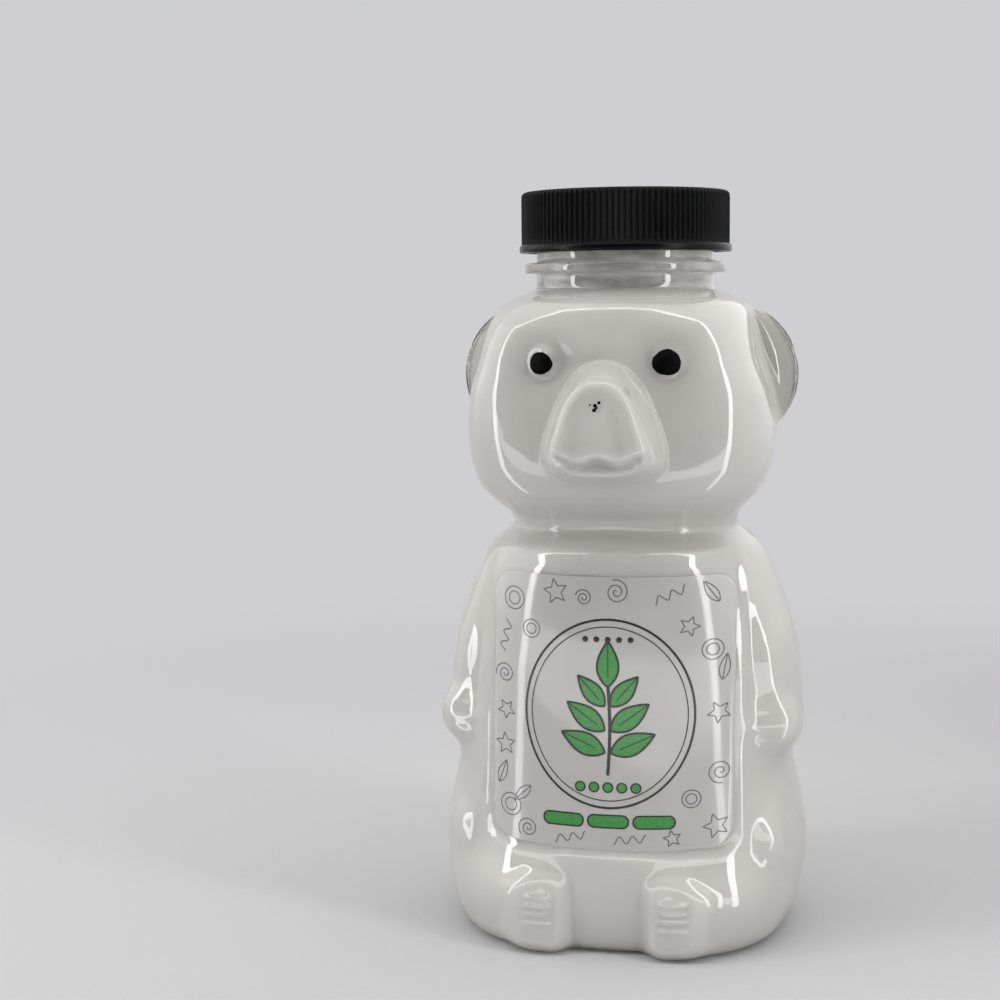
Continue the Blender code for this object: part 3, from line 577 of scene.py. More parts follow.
def sole_mark_field(across, up):
    """Four short level ridges on each sole: a soft bar in width, a narrow bell in height."""
    aside = np.abs(np.abs(across) - FOOT_SPREAD - SOLE_MARK_ASIDE)
    bar = ease((SOLE_MARK_HALF - aside) / SOLE_MARK_END + 0.5)
    rise = sum(mound((up - height) / SOLE_MARK_THICK) for height in SOLE_MARKS)
    return SOLE_MARK_RISE * bar * rise


def sections(rows, inset=0.0):
    """Sections of the body at the given rows, drawn in square to the profile by the inset."""
    values = smooth_curve(PLACES, STATIONS, rows)
    step = smooth_curve(PLACES, STATIONS, rows + ROW_STEP) - smooth_curve(PLACES, STATIONS, rows - ROW_STEP)
    run = np.hypot(step[:, 0], step[:, 1])
    values[:, 0] += inset * step[:, 1] / run
    values[:, 1:4] -= inset * (step[:, 0] / run)[:, None]
    return values


def skin(rows, angles, inset=0.0):
    """Bear's skin at rows and angles of any shape, as points about the neck axis.

    A superellipse of the row's section, pushed out by the limbs and in by the label panels,
    forward by the muzzle, eyes and soles, and sideways by the ears.
    """
    rows, angles = np.broadcast_arrays(rows, angles)
    values = sections(rows.ravel(), inset).T.reshape(5, *rows.shape)
    up, half_width, front, back, square = values
    sine, cosine = np.sin(angles), np.cos(angles)
    depth = np.where(cosine > 0, front, back)
    radius = (np.abs(sine / half_width) ** square + np.abs(cosine / depth) ** square) ** (-1 / square)
    on_side = rows > SIDE_START - ROW_STEP
    angles = (angles + math.pi) % (2 * math.pi) - math.pi
    radius = radius + limb_field(angles, up) * on_side
    across, along = radius * sine, -radius * cosine
    panel = PANEL_DEPTH * panel_field(across, up)
    across, along = across - panel * sine, along + panel * cosine

    forward = muzzle_field(across, up, inset) + eye_field(across, up) + sole_mark_field(across, up)
    sole = foot_field(across, up, inset) * on_side
    forward = forward + sole * np.clip(SOLE_REACH - inset + along, 0, None)
    along = along - forward * ease(cosine / FACE_FADE)

    share = (along - EAR_FRONT - inset) / (EAR_BACK - EAR_FRONT - 2 * inset)
    share = np.clip(np.where(cosine < 0, share, 0), 0, 1)
    chord = np.sqrt(np.clip((EAR_RADIUS - inset) ** 2 - (up - EAR_UP) ** 2, 0, None))
    rim = EAR_OUT - EAR_RADIUS + chord
    out = np.where(chord > 0, np.clip(rim - np.abs(across), 0, None), 0)
    across = across + np.sign(across) * out * np.sin(np.pi * share) ** EAR_ROUND
    along = along + EAR_DISH * np.sin(np.pi * np.clip(2 * share, 0, 1)) * ease(out / EAR_RIM)
    return np.stack([across, along, up], axis=-1)


def column_angles():
    """Angles all the way round, from the front: close on the face and ears, wider behind."""
    face, cheek, ear, back = COLUMN_COUNTS
    head_half = STATIONS[EAR_STATION, 1]
    ear_start = math.pi / 2 + math.atan(EAR_FRONT / head_half)
    ear_end = math.pi / 2 + math.atan((EAR_BACK + EAR_MARGIN) / head_half)
    half = np.concatenate(
        [
            np.linspace(0, FACE_END, face, endpoint=False),
            np.linspace(FACE_END, ear_start, cheek, endpoint=False),
            ear_start + (ear_end - ear_start) * (1 - np.cos(np.pi * np.arange(ear) / ear)) / 2,
            np.linspace(ear_end, math.pi, back),
        ]
    )
    return np.concatenate([half, -half[-2:0:-1]])


def side_profile():
    """Finely spaced rows up the side of the skin, and the height at each."""
    fine = np.linspace(SIDE_START, PLACES[-1], 6000)
    return fine, smooth_curve(PLACES, STATIONS, fine)[:, 0]


def graded_rows(pitches=PITCHES):
    """Rows up the side of the skin, spaced by the pitch wanted at each height."""
    fine, height = side_profile()
    density = 1 / np.interp(height, PITCH_HEIGHTS, pitches)
    count = np.concatenate([[0], np.cumsum((density[1:] + density[:-1]) / 2 * np.diff(fine))])
    return np.interp(np.linspace(0, count[-1], math.ceil(count[-1]) + 1), count, fine)


def on_skin(across, up, lift, behind=False):
    """Points of the front (or back) skin at a width and height, lifted along its normal.

    The angle comes from a fixed point of angle = asin(across / radius at that angle), the normal
    from the cross product of two small steps over the skin.
    """
    fine, height = side_profile()
    rows = np.interp(up, height, fine)
    turn = np.zeros_like(across)
    for _ in range(SEARCH_ROUNDS):
        point = skin(rows, math.pi - turn if behind else turn)
        radius = np.hypot(point[..., 0], radial_depth(point))
        turn = np.arcsin(np.clip(across / radius, -WIDEST_SINE, WIDEST_SINE))
    angle = math.pi - turn if behind else turn
    sideways = skin(rows, angle + ANGLE_STEP) - skin(rows, angle - ANGLE_STEP)
    upward = skin(rows + ROW_STEP, angle) - skin(rows - ROW_STEP, angle)
    normal = np.cross(sideways, upward)
    normal = normal / np.linalg.norm(normal, axis=-1, keepdims=True)
    return skin(rows, angle) + normal * np.asarray(lift)[..., None]


def radial_depth(point):
    """Depth of a skin point before the face was pushed forward."""
    forward = muzzle_field(point[..., 0], point[..., 2]) + eye_field(point[..., 0], point[..., 2])
    return np.where(point[..., 1] < 0, np.abs(point[..., 1] + forward), np.abs(point[..., 1]))


# Meshes


def put_mesh(name, points, blocks, material):
    """Smooth mesh object at the origin, from points about the neck axis and arrays of faces."""
    faces = []
    for block in blocks:
        faces += block.tolist()
    mesh = bpy.data.meshes.new(name)
    shifted = np.asarray(points, dtype=float).reshape(-1, 3) + np.array([0, AXIS_BACK, 0])
    mesh.from_pydata(shifted.tolist(), [], faces)
    mesh.materials.append(material)
    mesh.shade_smooth()
    mesh.update()
    made = bpy.data.objects.new(name, mesh)
    bpy.context.scene.collection.objects.link(made)
    return made


def grid_faces(rows, columns, closed):
    """Four-cornered faces of a grid, joined round its columns where it is closed."""
    row = np.arange(rows - 1)[:, None] * columns
    column = np.arange(columns if closed else columns - 1)[None, :]
    beside = (column + 1) % columns
    corners = (row + column, row + beside, row + columns + beside, row + columns + column)
    return np.stack(corners, axis=-1).reshape(-1, 4)


def fan_faces(start, pole, count, downward=False):
    """Triangles from a ring of points to its pole, above it or below it."""
    column = np.arange(count)
    beside = (column + 1) % count
    first, second = (beside, column) if downward else (column, beside)
    return np.stack([start + first, start + second, np.full(count, pole)], axis=1)


def closed_surface(name, rings, material, poles=True):
    """Closed surface through rings of equal count, with a pole at each end or its ends joined."""
    rows, columns = rings.shape[:2]
    points, last, foot = rings.reshape(-1, 3), (rows - 1) * columns, rows * columns
    if poles:
        points = np.vstack([points, rings[0].mean(axis=0), rings[-1].mean(axis=0)])
        ends = [fan_faces(0, foot, columns, True), fan_faces(last, foot + 1, columns)]
    else:
        first = np.arange(columns)
        beside = (first + 1) % columns
        ends = [np.stack([last + first, last + beside, beside, first], axis=1)]
    return put_mesh(name, points, [grid_faces(rows, columns, True), *ends], material)


def turned(radii, heights, angles):
    """Rings of a turned profile: x = r sin a, y = -r cos a, z = height."""
    radii, heights = np.asarray(radii, dtype=float), np.asarray(heights, dtype=float)
    radii = radii[:, None] if radii.ndim == 1 else radii
    heights = heights[:, None] if heights.ndim == 1 else heights
    radii, heights, angles = np.broadcast_arrays(radii, heights, angles[None, :])
    return np.stack([radii * np.sin(angles), -radii * np.cos(angles), heights], axis=-1)


def arc(centre, radius, start, end, count=5):
    """Points (radius, height) on a circle arc between two angles in degrees."""
    turn = np.radians(np.linspace(start, end, count))
    return np.stack([centre[0] + radius * np.cos(turn), centre[1] + radius * np.sin(turn)], axis=1)


def helix_field(angles, heights, bottom, turns, start):
    """Ridge of a screw thread, 0 to 1, over angles and heights.

    Each full turn passed gives one centre line, bottom + pitch * sweep / 2 pi; the ridge is a
    trapezoid about the nearest one and thins to nothing at both ends.
    """
    total = 2 * math.pi * turns
    base = (angles - math.pi / 2 - start) % (2 * math.pi)
    ridge = np.zeros(np.broadcast_shapes(angles.shape, heights.shape))
    for lap in range(math.ceil(turns)):
        sweep = base + 2 * math.pi * lap
        fade = np.minimum(ease(sweep / THREAD_FADE), ease((total - sweep) / THREAD_FADE))
        fade = np.where(sweep < total, fade, 0)
        off = np.abs(heights - bottom - THREAD_PITCH * sweep / (2 * math.pi))
        thick = THREAD_THINNEST + (1 - THREAD_THINNEST) * fade
        root, tip = THREAD_HALVES[0] * thick, THREAD_HALVES[1] * thick
        ridge = np.maximum(ridge, fade * np.clip((root - off) / (root - tip), 0, 1))
    return ridge


# Materials


def add(tree, kind, sockets=None, **settings):
    """Add one node: settings are its properties; a socket takes a value or the output that feeds it."""
    made = tree.nodes.new(kind)
    for name, value in settings.items():
        setattr(made, name, value)
    for socket, value in (sockets or {}).items():
        if isinstance(value, bpy.types.NodeSocket):
            tree.links.new(value, made.inputs[socket])
        else:
            made.inputs[socket].default_value = value
    return made


def span(value, start, end, low=0.0, high=1.0):
    """Sockets that take a value's run from start to end over to a run from low to high."""
    return {"Value": value, "From Min": start, "From Max": end, "To Min": low, "To Max": high}


def shaded(colour, share):
    """The same colour made darker or lighter by a share."""
    return tuple(min(channel * share, 1) for channel in colour)


class Pattern(NamedTuple):
    """Noise on object coordinates: cell size in mm, detail, roughness and stretch by axis."""

    size: float
    detail: float = 2.0
    roughness: float = 0.5
    stretch: tuple = (1.0, 1.0, 1.0)


# The middle part of a noise, over which colours and roughness run from one value to the other
SPREAD = (0.33, 0.67)

# Sockets of a colour mix, which share their names with others
MIX_FIRST, MIX_SECOND, MIX_RESULT = 6, 7, 2


def new_material(name, **values):
    """Material holding a Principled shader, its tree and the shader, with plain socket values."""
    made = bpy.data.materials.new(name)
    made.use_nodes = True
    shader = made.node_tree.nodes["Principled BSDF"]
    for socket, value in values.items():
        shader.inputs[socket.replace("_", " ")].default_value = value
    return made, made.node_tree, shader


def lay_patterns(tree, shader, tints, cloud, roughs=None, grain=None, relief=()):
    """Feed a shader from patterns, and return the outputs that feed it by socket.

    Its colour runs between two tints by the cloud and its roughness between two values by the
    grain, or by the cloud too. Each relief is a pattern and the height that it stands proud.
    """
    place = add(tree, "ShaderNodeTexCoord").outputs["Object"]
    noises = {}
    for pattern in dict.fromkeys((cloud, grain or cloud, *(bumps for bumps, _ in relief))):
        mapped = add(tree, "ShaderNodeMapping", {"Vector": place, "Scale": pattern.stretch})
        sockets = {"Vector": mapped.outputs["Vector"], "Scale": 1000 / pattern.size}
        sockets |= {"Detail": pattern.detail, "Roughness": pattern.roughness}
        noises[pattern] = add(tree, "ShaderNodeTexNoise", sockets).outputs["Fac"]

    share = add(tree, "ShaderNodeMapRange", span(noises[cloud], *SPREAD)).outputs["Result"]
    sockets = {"Factor": share, MIX_FIRST: (*tints[0], 1), MIX_SECOND: (*tints[1], 1)}
    mix = add(tree, "ShaderNodeMix", sockets, data_type="RGBA")
    fed = {"Base Color": mix.outputs[MIX_RESULT]}
    if roughs:
        sockets = span(noises[grain or cloud], *SPREAD, *roughs)
        fed["Roughness"] = add(tree, "ShaderNodeMapRange", sockets).outputs["Result"]
    for pattern, height in relief:
        sockets = {"Height": noises[pattern], "Distance": height}
        if "Normal" in fed:
            sockets["Normal"] = fed["Normal"]
        fed["Normal"] = add(tree, "ShaderNodeBump", sockets).outputs["Normal"]
    for socket, output in fed.items():
        tree.links.new(output, shader.inputs[socket])
    return fed


def clear_polyester(colours, sizes):
    """Stretch-blown PET: glass clear and glossy, with soft waves from blowing and a parting line."""
    made, tree, shader = new_material(
        "blown clear PET", IOR=1.575, Transmission_Weight=1.0, Specular_IOR_Level=0.5
    )
    tints = shaded(colours.polyester, 0.995), shaded(colours.polyester, 0.990)
    waves = Pattern(11.765, 1.5, 0.45, (1.0, 1.0, 0.7))
    relief = ((waves, sizes.waves), (Pattern(3.333, 1), sizes.waves / 6))
    fed = lay_patterns(tree, shader, tints, Pattern(7.143, 3), (0.015, 0.04), relief=relief)

    seam_back, seam_half, seam_rise = AXIS_BACK + (EAR_FRONT + EAR_BACK) / 2, 0.0003, 0.00008
    place = add(tree, "ShaderNodeTexCoord").outputs["Object"]
    back = add(tree, "ShaderNodeSeparateXYZ", {"Vector": place}).outputs["Y"]
    off = add(tree, "ShaderNodeMath", {0: back, 1: seam_back}, operation="SUBTRACT").outputs[0]
    away = add(tree, "ShaderNodeMath", {0: off}, operation="ABSOLUTE").outputs[0]
    line = add(tree, "ShaderNodeMapRange", span(away, 0.0, seam_half, 1.0, 0.0)).outputs["Result"]
    sockets = {"Height": line, "Distance": seam_rise, "Normal": fed["Normal"]}
    seam = add(tree, "ShaderNodeBump", sockets).outputs["Normal"]
    tree.links.new(seam, shader.inputs["Normal"])
    return made


def white_glue(colours):
    """Polyvinyl acetate glue: dense warm white with faint bands, and painted shade that greys the ears'
    dished fronts.
    """
    made, tree, shader = new_material("white PVA glue", Roughness=0.45, IOR=1.47)
    tints = tuple(colours.glue), shaded(colours.glue, 0.955)
    bands = Pattern(18.18, 4, 0.55, (1.0, 1.0, 2.2))
    fed = lay_patterns(tree, shader, tints, bands, relief=((Pattern(1.111), 0.00001),))

    # The ears begin past a leaning plane, x + lean z, and above the cheeks; there painted shade darkens the
    # glue's colour
    lean, ear_start, ear_full, cheek_top, ear_foot = 0.27, 0.0563, 0.0577, 0.0950, 0.0980
    place = add(tree, "ShaderNodeTexCoord").outputs["Object"]
    split = add(tree, "ShaderNodeSeparateXYZ", {"Vector": place}).outputs
    aside = add(tree, "ShaderNodeMath", {0: split["X"]}, operation="ABSOLUTE").outputs[0]
    sockets = {0: split["Z"], 1: lean, 2: aside}
    past = add(tree, "ShaderNodeMath", sockets, operation="MULTIPLY_ADD").outputs[0]
    spans = span(past, ear_start, ear_full), span(split["Z"], cheek_top, ear_foot)
    steps = [add(tree, "ShaderNodeMapRange", each, interpolation_type="SMOOTHSTEP") for each in spans]
    inside = {number: step.outputs["Result"] for number, step in enumerate(steps)}
    # thin is the mask of the painted shade on the ears' dished fronts
    thin = add(tree, "ShaderNodeMath", inside, operation="MULTIPLY").outputs[0]
    # Darker copy of the glue colour: painted shade in the ears
    grey = np.multiply(shaded(colours.glue, 0.60), (1.0, 0.985, 0.95))
    sockets = {"Factor": thin, MIX_FIRST: fed["Base Color"], MIX_SECOND: (*grey, 1)}
    ear_shaded_colour = add(tree, "ShaderNodeMix", sockets, data_type="RGBA").outputs[MIX_RESULT]
    tree.links.new(ear_shaded_colour, shader.inputs["Base Color"])
    return made


def glue_residue(colours):
    """Thin dried glue on the neck's inside: grey because the dark inside shows through it."""
    made, tree, shader = new_material("dried glue film", Roughness=0.5, IOR=1.47)
    streaks = Pattern(6.25, 4, 0.6, (1.0, 1.0, 3.2))
    tints = shaded(colours.residue, 0.72), shaded(colours.residue, 1.35)
    lay_patterns(tree, shader, tints, streaks, relief=((streaks, 0.0002),))
    return made


def label_film(colours):
    """Polypropylene label film, backed white by the glue: cool pale grey, smooth and glossy."""
    made, tree, shader = new_material("printed PP film", IOR=1.49)
    tints = tuple(colours.film), shaded(colours.film, 0.965)
    relief = ((Pattern(9.091, 1.5, 0.4), 0.0001),)
    lay_patterns(tree, shader, tints, Pattern(8.333, 3), (0.07, 0.12), Pattern(3.846), relief)
    return made


def printing_ink(name, colour):
    """Flexographic ink: a thin satin coat, slightly mottled where the plate printed lighter."""
    made, tree, shader = new_material(name, IOR=1.5)
    tints = shaded(colour, 0.94), shaded(colour, 1.07)
    lay_patterns(tree, shader, tints, Pattern(0.2778), (0.2, 0.32))
    return made


def eye_paint(colours):
    """Flat enamel dabbed on by pad: dead black with a slightly pooled, uneven skin."""
    made, tree, shader = new_material("black pad-printed enamel", IOR=1.52, Specular_IOR_Level=0.05)
    tints = shaded(colours.black, 0.10), shaded(colours.black, 0.15)
    pools = Pattern(1.4286)
    lay_patterns(tree, shader, tints, pools, (0.5, 0.62), relief=((pools, 0.00004),))
    return made


def cap_plastic(colours):
    """Injection-moulded black PP: satin ribs with a fine spark-eroded grain, over a glossy band."""
    made, tree, shader = new_material("moulded black PP", IOR=1.49, Specular_IOR_Level=0.12)
    tints = shaded(colours.cap, 0.75), shaded(colours.cap, 1.45)
    wear, sparks = Pattern(4.167, 3, 0.6), Pattern(0.3125, 2, 0.6)
    fed = lay_patterns(tree, shader, tints, wear, (0.42, 0.6), relief=((sparks, 0.00003),))

    band_gloss, band_low, band_high = 0.5, CAP_BAND_TOP - 0.0001, CAP_BAND_TOP + 0.0003
    place = add(tree, "ShaderNodeTexCoord").outputs["Object"]
    up = add(tree, "ShaderNodeSeparateXYZ", {"Vector": place}).outputs["Z"]
    sockets = span(up, band_low, band_high, band_gloss, 1.0)
    satin = add(tree, "ShaderNodeMapRange", sockets, interpolation_type="SMOOTHSTEP").outputs["Result"]
    rough = add(tree, "ShaderNodeMath", {0: satin, 1: fed["Roughness"]}, operation="MULTIPLY").outputs[0]
    tree.links.new(rough, shader.inputs["Roughness"])
    return made


def liner_foam(colours):
    """Closed-cell polyethylene foam under a thin skin: soft white with half-millimetre cells."""
    made, tree, shader = new_material("foamed PE liner", Roughness=0.62, IOR=1.5)
    cell, dimple = 0.0005, 0.00006
    place = add(tree, "ShaderNodeTexCoord").outputs["Object"]
    cells = add(tree, "ShaderNodeTexVoronoi", {"Vector": place, "Scale": 1 / cell}).outputs["Distance"]
    sockets = {"Factor": cells, MIX_FIRST: (*colours.foam, 1), MIX_SECOND: (*shaded(colours.foam, 0.9), 1)}
    mix = add(tree, "ShaderNodeMix", sockets, data_type="RGBA").outputs[MIX_RESULT]
    bump = add(tree, "ShaderNodeBump", {"Height": cells, "Distance": dimple}).outputs["Normal"]
    tree.links.new(mix, shader.inputs["Base Color"])
    tree.links.new(bump, shader.inputs["Normal"])
    return made


def paper_floor(colours):
    """Matt background paper: pale cool grey with a barely seen tooth, running into an even ground."""
    made, tree, shader = new_material("matt background paper", Roughness=0.9, Specular_IOR_Level=0.0)
    tooth = Pattern(1.111, 3)
    tints = tuple(colours.floor), shaded(colours.floor, 0.985)
    lay_patterns(tree, shader, tints, tooth, relief=((tooth, 0.00005),))

    ground_start, ground_full = 0.10, 0.42
    rays = add(tree, "ShaderNodeLightPath").outputs
    seen = rays["Is Camera Ray"]
    for ray in ("Is Glossy Ray", "Is Transmission Ray"):
        seen = add(tree, "ShaderNodeMath", {0: seen, 1: rays[ray]}, operation="MAXIMUM").outputs[0]
    place = add(tree, "ShaderNodeTexCoord").outputs["Object"]
    away = add(tree, "ShaderNodeVectorMath", {0: place}, operation="LENGTH").outputs["Value"]
    sockets = span(away, ground_start, ground_full)
    far = add(tree, "ShaderNodeMapRange", sockets, interpolation_type="SMOOTHSTEP").outputs["Result"]
    share = add(tree, "ShaderNodeMath", {0: far, 1: seen}, operation="MULTIPLY").outputs[0]
    even = add(tree, "ShaderNodeEmission", {"Color": (*colours.backdrop, 1)}).outputs[0]
    both = add(tree, "ShaderNodeMixShader", {0: share, 1: shader.outputs[0], 2: even}).outputs[0]
    tree.links.new(both, tree.nodes["Material Output"].inputs["Surface"])
    return made


def light_cloth(name, strength, foot):
    """Lit diffusing cloth: faintly warm white light, easing to a share of itself at its foot."""
    made = bpy.data.materials.new(name)
    made.use_nodes = True
    tree = made.node_tree
    tree.nodes.clear()
    full_up = 0.2
    place = add(tree, "ShaderNodeTexCoord").outputs["Object"]
    up = add(tree, "ShaderNodeSeparateXYZ", {"Vector": place}).outputs["Z"]
    sockets = span(up, 0, full_up, strength * foot, strength)
    bright = add(tree, "ShaderNodeMapRange", sockets, interpolation_type="SMOOTHSTEP").outputs["Result"]
    glow = add(tree, "ShaderNodeEmission", {"Strength": bright, "Color": (1.0, 0.995, 0.985, 1)})
    add(tree, "ShaderNodeOutputMaterial", {"Surface": glow.outputs["Emission"]})
    return made


# Printed motifs

# Share of the ink's height at the edge of a line or patch, and in its middle
INK_EDGE, INK_FULL = 0.3, 1.0
THIN_LINE = 0.00024

# Motifs scattered round the badge: across and up from the film's middle, size and turn
SCATTERED = {
    "ring": (
        (-0.0185, 0.0205, 1.0, 0),
        (0.0188, 0.0118, 0.9, 0),
        (-0.0192, -0.0190, 1.0, 0),
        (0.0152, -0.0160, 0.8, 0),
        (-0.0148, 0.0152, 0.8, 0),
    ),
    "star": (
        (-0.0100, 0.0225, 1.0, 0.2),
        (0.0200, 0.0000, 0.9, 0.5),
        (-0.0203, -0.0075, 0.9, 0.1),
        (0.0196, -0.0215, 1.0, 0.3),
        (0.0147, 0.0163, 0.8, 0.9),
        (-0.0201, -0.0008, 0.8, 0.6),
        (0.0118, -0.0234, 0.7, 0.2),
    ),
    "spiral": (
        (0.0015, 0.0228, 1.0, 0),
        (-0.0204, 0.0060, 0.9, 1.5),
        (0.0203, -0.0112, 1.0, 3),
        (-0.0156, -0.0230, 0.9, 2),
        (-0.0046, 0.0216, 0.7, 1),
    ),
    "wave": (
        (0.0112, 0.0222, 1.0, 0.4),
        (-0.0203, 0.0132, 1.0, 1.3),
        (0.0040, -0.0237, 1.0, 0.1),
        (-0.0072, -0.0237, 1.0, 0.2),
    ),
    "leaf": (
        (0.0198, 0.0205, 1.0, 2.2),
        (-0.0150, -0.0148, 1.0, 3.9),
        (0.0205, 0.0060, 1.0, 1.4),
        (-0.0218, -0.0152, 1.0, 1.2),
    ),
}

# Sprig: its stem's ends, bend and width, its top leaf's length, width and foot, how far to the side the
# paired leaves start, and for each pair the height of the foot, length, and lean from level in degrees
STEM_ENDS = (-0.0115, 0.0056)
STEM_BEND = 0.0004
STEM_WIDTH = 0.0006
TOP_LEAF = (0.0085, 0.0044)
TOP_LEAF_FOOT = 0.0052
LEAF_ASIDE = 0.0006
LEAF_PAIRS = ((-0.0072, 0.0088, 24), (-0.0030, 0.0086, 36), (0.0016, 0.0074, 48))

# Badge: radius, line width and points of its two ovals, and how they are stretched across and up
BADGE_OVALS = ((0.0158, 0.00042, 160), (0.0146, 0.0002, 150))
BADGE_STRETCH = (1.0, 1.12)

# Rows of drops and beads, five each: radius, pitch and height; and three bars: half size and corner
DROP_RADIUS, DROP_PITCH, DROP_UP = 0.0009, 0.0026, -0.0138
BEAD_DOT_RADIUS, BEAD_DOT_PITCH, BEAD_DOT_UP = 0.00055, 0.0021, 0.0140
BAR_SHAPE = (0.0038, 0.0012, 0.0011)
BAR_PITCH, BAR_UP = 0.0085, -0.0203

# Widths of the lines round leaves, along their veins, and round drops and bars
LEAF_LINE, VEIN_LINE, DROP_LINE, BAR_LINE = 0.0004, 0.0002, 0.00028, 0.0003

# Back film: half width, half height and corner of its border, and the size of the leaf in it
BACK_BORDER = (0.0205, 0.0232, 0.0030)
BACK_LEAF_SCALE = 1.1


def ribbon(path, width, closed=False):
    """Line with three points across, along a path of (across, up): sides square to its tangent."""
    path = np.asarray(path, dtype=float)
    if closed:
        tangent = np.roll(path, -1, axis=0) - np.roll(path, 1, axis=0)
    else:
        tangent = np.gradient(path, axis=0)
    tangent = tangent / np.linalg.norm(tangent, axis=1, keepdims=True)
    side = np.stack([-tangent[:, 1], tangent[:, 0]], axis=1) * width / 2
    points = np.concatenate([path - side, path, path + side])
    lifts = np.repeat([INK_EDGE, INK_FULL, INK_EDGE], len(path))
    return points, lifts, [grid_faces(3, len(path), closed)]


def patch(outline, rings=5):
    """Filled shape: rings shrunk towards the middle of the outline, closed by a pole."""
    outline = np.asarray(outline, dtype=float)
    middle, count = outline.mean(axis=0), len(outline)
    shares = np.linspace(1, 0, rings, endpoint=False)
    points = middle + shares[:, None, None] * (outline - middle)
    lifts = np.repeat(np.where(shares == 1, INK_EDGE, INK_FULL), count)
    blocks = [grid_faces(rings, count, True), fan_faces((rings - 1) * count, rings * count, count)]
    return np.vstack([points.reshape(-1, 2), middle]), np.append(lifts, INK_FULL), blocks


def print_on_film(name, motifs, ground, ink, material, behind=False):
    """Lay motifs of (points, lifts, blocks of faces) on the label's skin as one printed piece."""
    starts = np.cumsum([0] + [len(points) for points, _, _ in motifs])
    blocks = [block + start for start, motif in zip(starts, motifs) for block in motif[2]]
    flat = np.concatenate([points for points, _, _ in motifs])
    height = ground + ink * np.concatenate([lifts for _, lifts, _ in motifs])
    aside = 0 if behind else FILM_ASIDE
    laid = on_skin(flat[:, 0] + aside, FILM_MIDDLE + flat[:, 1], height, behind)
    return put_mesh(name, laid, blocks, material)


def turn_to(points, angle, centre=(0, 0), size=1.0):
    """Points scaled, turned and moved to a centre."""
    cosine, sine = math.cos(angle), math.sin(angle)
    turned_points = np.asarray(points) @ np.array([[cosine, sine], [-sine, cosine]])
    return turned_points * size + np.asarray(centre)


def leaf(long, wide, count=48):
    """Outline of a pointed leaf along +x: half width w/2 sin(pi s)^0.8 (1.15 - 0.5 s)."""
    share = (1 - np.cos(np.linspace(0, math.pi, count // 2))) / 2
    half = wide / 2 * np.sin(np.pi * share) ** 0.8 * (1.15 - 0.5 * share)
    upper = np.stack([share * long, half], axis=1)
    lower = np.stack([share * long, -half], axis=1)[::-1]
    return np.concatenate([lower, upper[1:-1]])


def circle(radius, count=64):
    """Points round a circle."""
    turn = np.linspace(0, 2 * math.pi, count, endpoint=False)
    return np.stack([radius * np.cos(turn), radius * np.sin(turn)], axis=1)


def rounded_box(half_width, half_height, corner, count=120):
    """Points round a rounded rectangle, evenly spaced along it."""
    turn = np.linspace(0, math.pi / 2, 12)
    quarter = corner * np.stack([np.cos(turn), np.sin(turn)], axis=1)
    quarter = quarter + (half_width - corner, half_height - corner)
    top = np.concatenate([quarter, quarter[::-1] * (-1, 1)])
    loop = np.concatenate([top, -top, top[:1]])
    place = np.concatenate([[0], np.cumsum(np.linalg.norm(np.diff(loop, axis=0), axis=1))])
    even = np.linspace(0, place[-1], count, endpoint=False)
    return np.stack([np.interp(even, place, loop[:, k]) for k in (0, 1)], axis=1)


def star(points, outer, inner):
    """Outline of a star, drawn with several points along each edge."""
    turn = np.pi / 2 + np.pi * np.arange(2 * points) / points
    radius = np.where(np.arange(2 * points) % 2, inner, outer)
    tips = np.stack([radius * np.cos(turn), radius * np.sin(turn)], axis=1)
    share = np.linspace(0, 1, 6, endpoint=False)[None, :, None]
    return (tips[:, None] * (1 - share) + np.roll(tips, -1, axis=0)[:, None] * share).reshape(-1, 2)


def spiral(radius, turns, count=60):
    """Points along a spiral that opens evenly."""
    share = np.linspace(0.08, 1, count)
    turn = 2 * math.pi * turns * share
    return np.stack([radius * share * np.cos(turn), radius * share * np.sin(turn)], axis=1)


def wave(long, height, waves, count=60):
    """Points along a level sine wave."""
    share = np.linspace(-0.5, 0.5, count)
    return np.stack([share * long, height * np.sin(2 * math.pi * waves * share)], axis=1)


def sprig_leaves():
    """Outlines of the sprig's leaves: one at the top and pairs that lean out on both sides."""
    leaves = [turn_to(leaf(*TOP_LEAF), math.pi / 2, (0, TOP_LEAF_FOOT))]
    for foot, long, lean in LEAF_PAIRS:
        for side in (1, -1):
            angle = math.radians(lean) if side > 0 else math.pi - math.radians(lean)
            leaves.append(turn_to(leaf(long, long / 2), angle, (side * LEAF_ASIDE, foot)))
    return leaves


def grey_motifs():
    """Fine line motifs scattered round the badge: rings, stars, spirals, waves and leaves."""
    vein = np.stack([np.linspace(0, 0.0048, 8), np.zeros(8)], axis=1)
    drawings = {
        "ring": ((circle(0.0021), True), (circle(0.0012), True)),
        "star": ((star(5, 0.0024, 0.0011), True),),
        "spiral": ((spiral(0.0023, 2.3), False),),
        "wave": ((wave(0.0062, 0.0007, 2.5), False),),
        "leaf": ((leaf(0.0048, 0.0020), True), (vein, False)),
    }
    return [
        ribbon(turn_to(path, turn, (across, up), size), THIN_LINE, closed)
        for kind, spots in SCATTERED.items()
        for across, up, size, turn in spots
        for path, closed in drawings[kind]
    ]


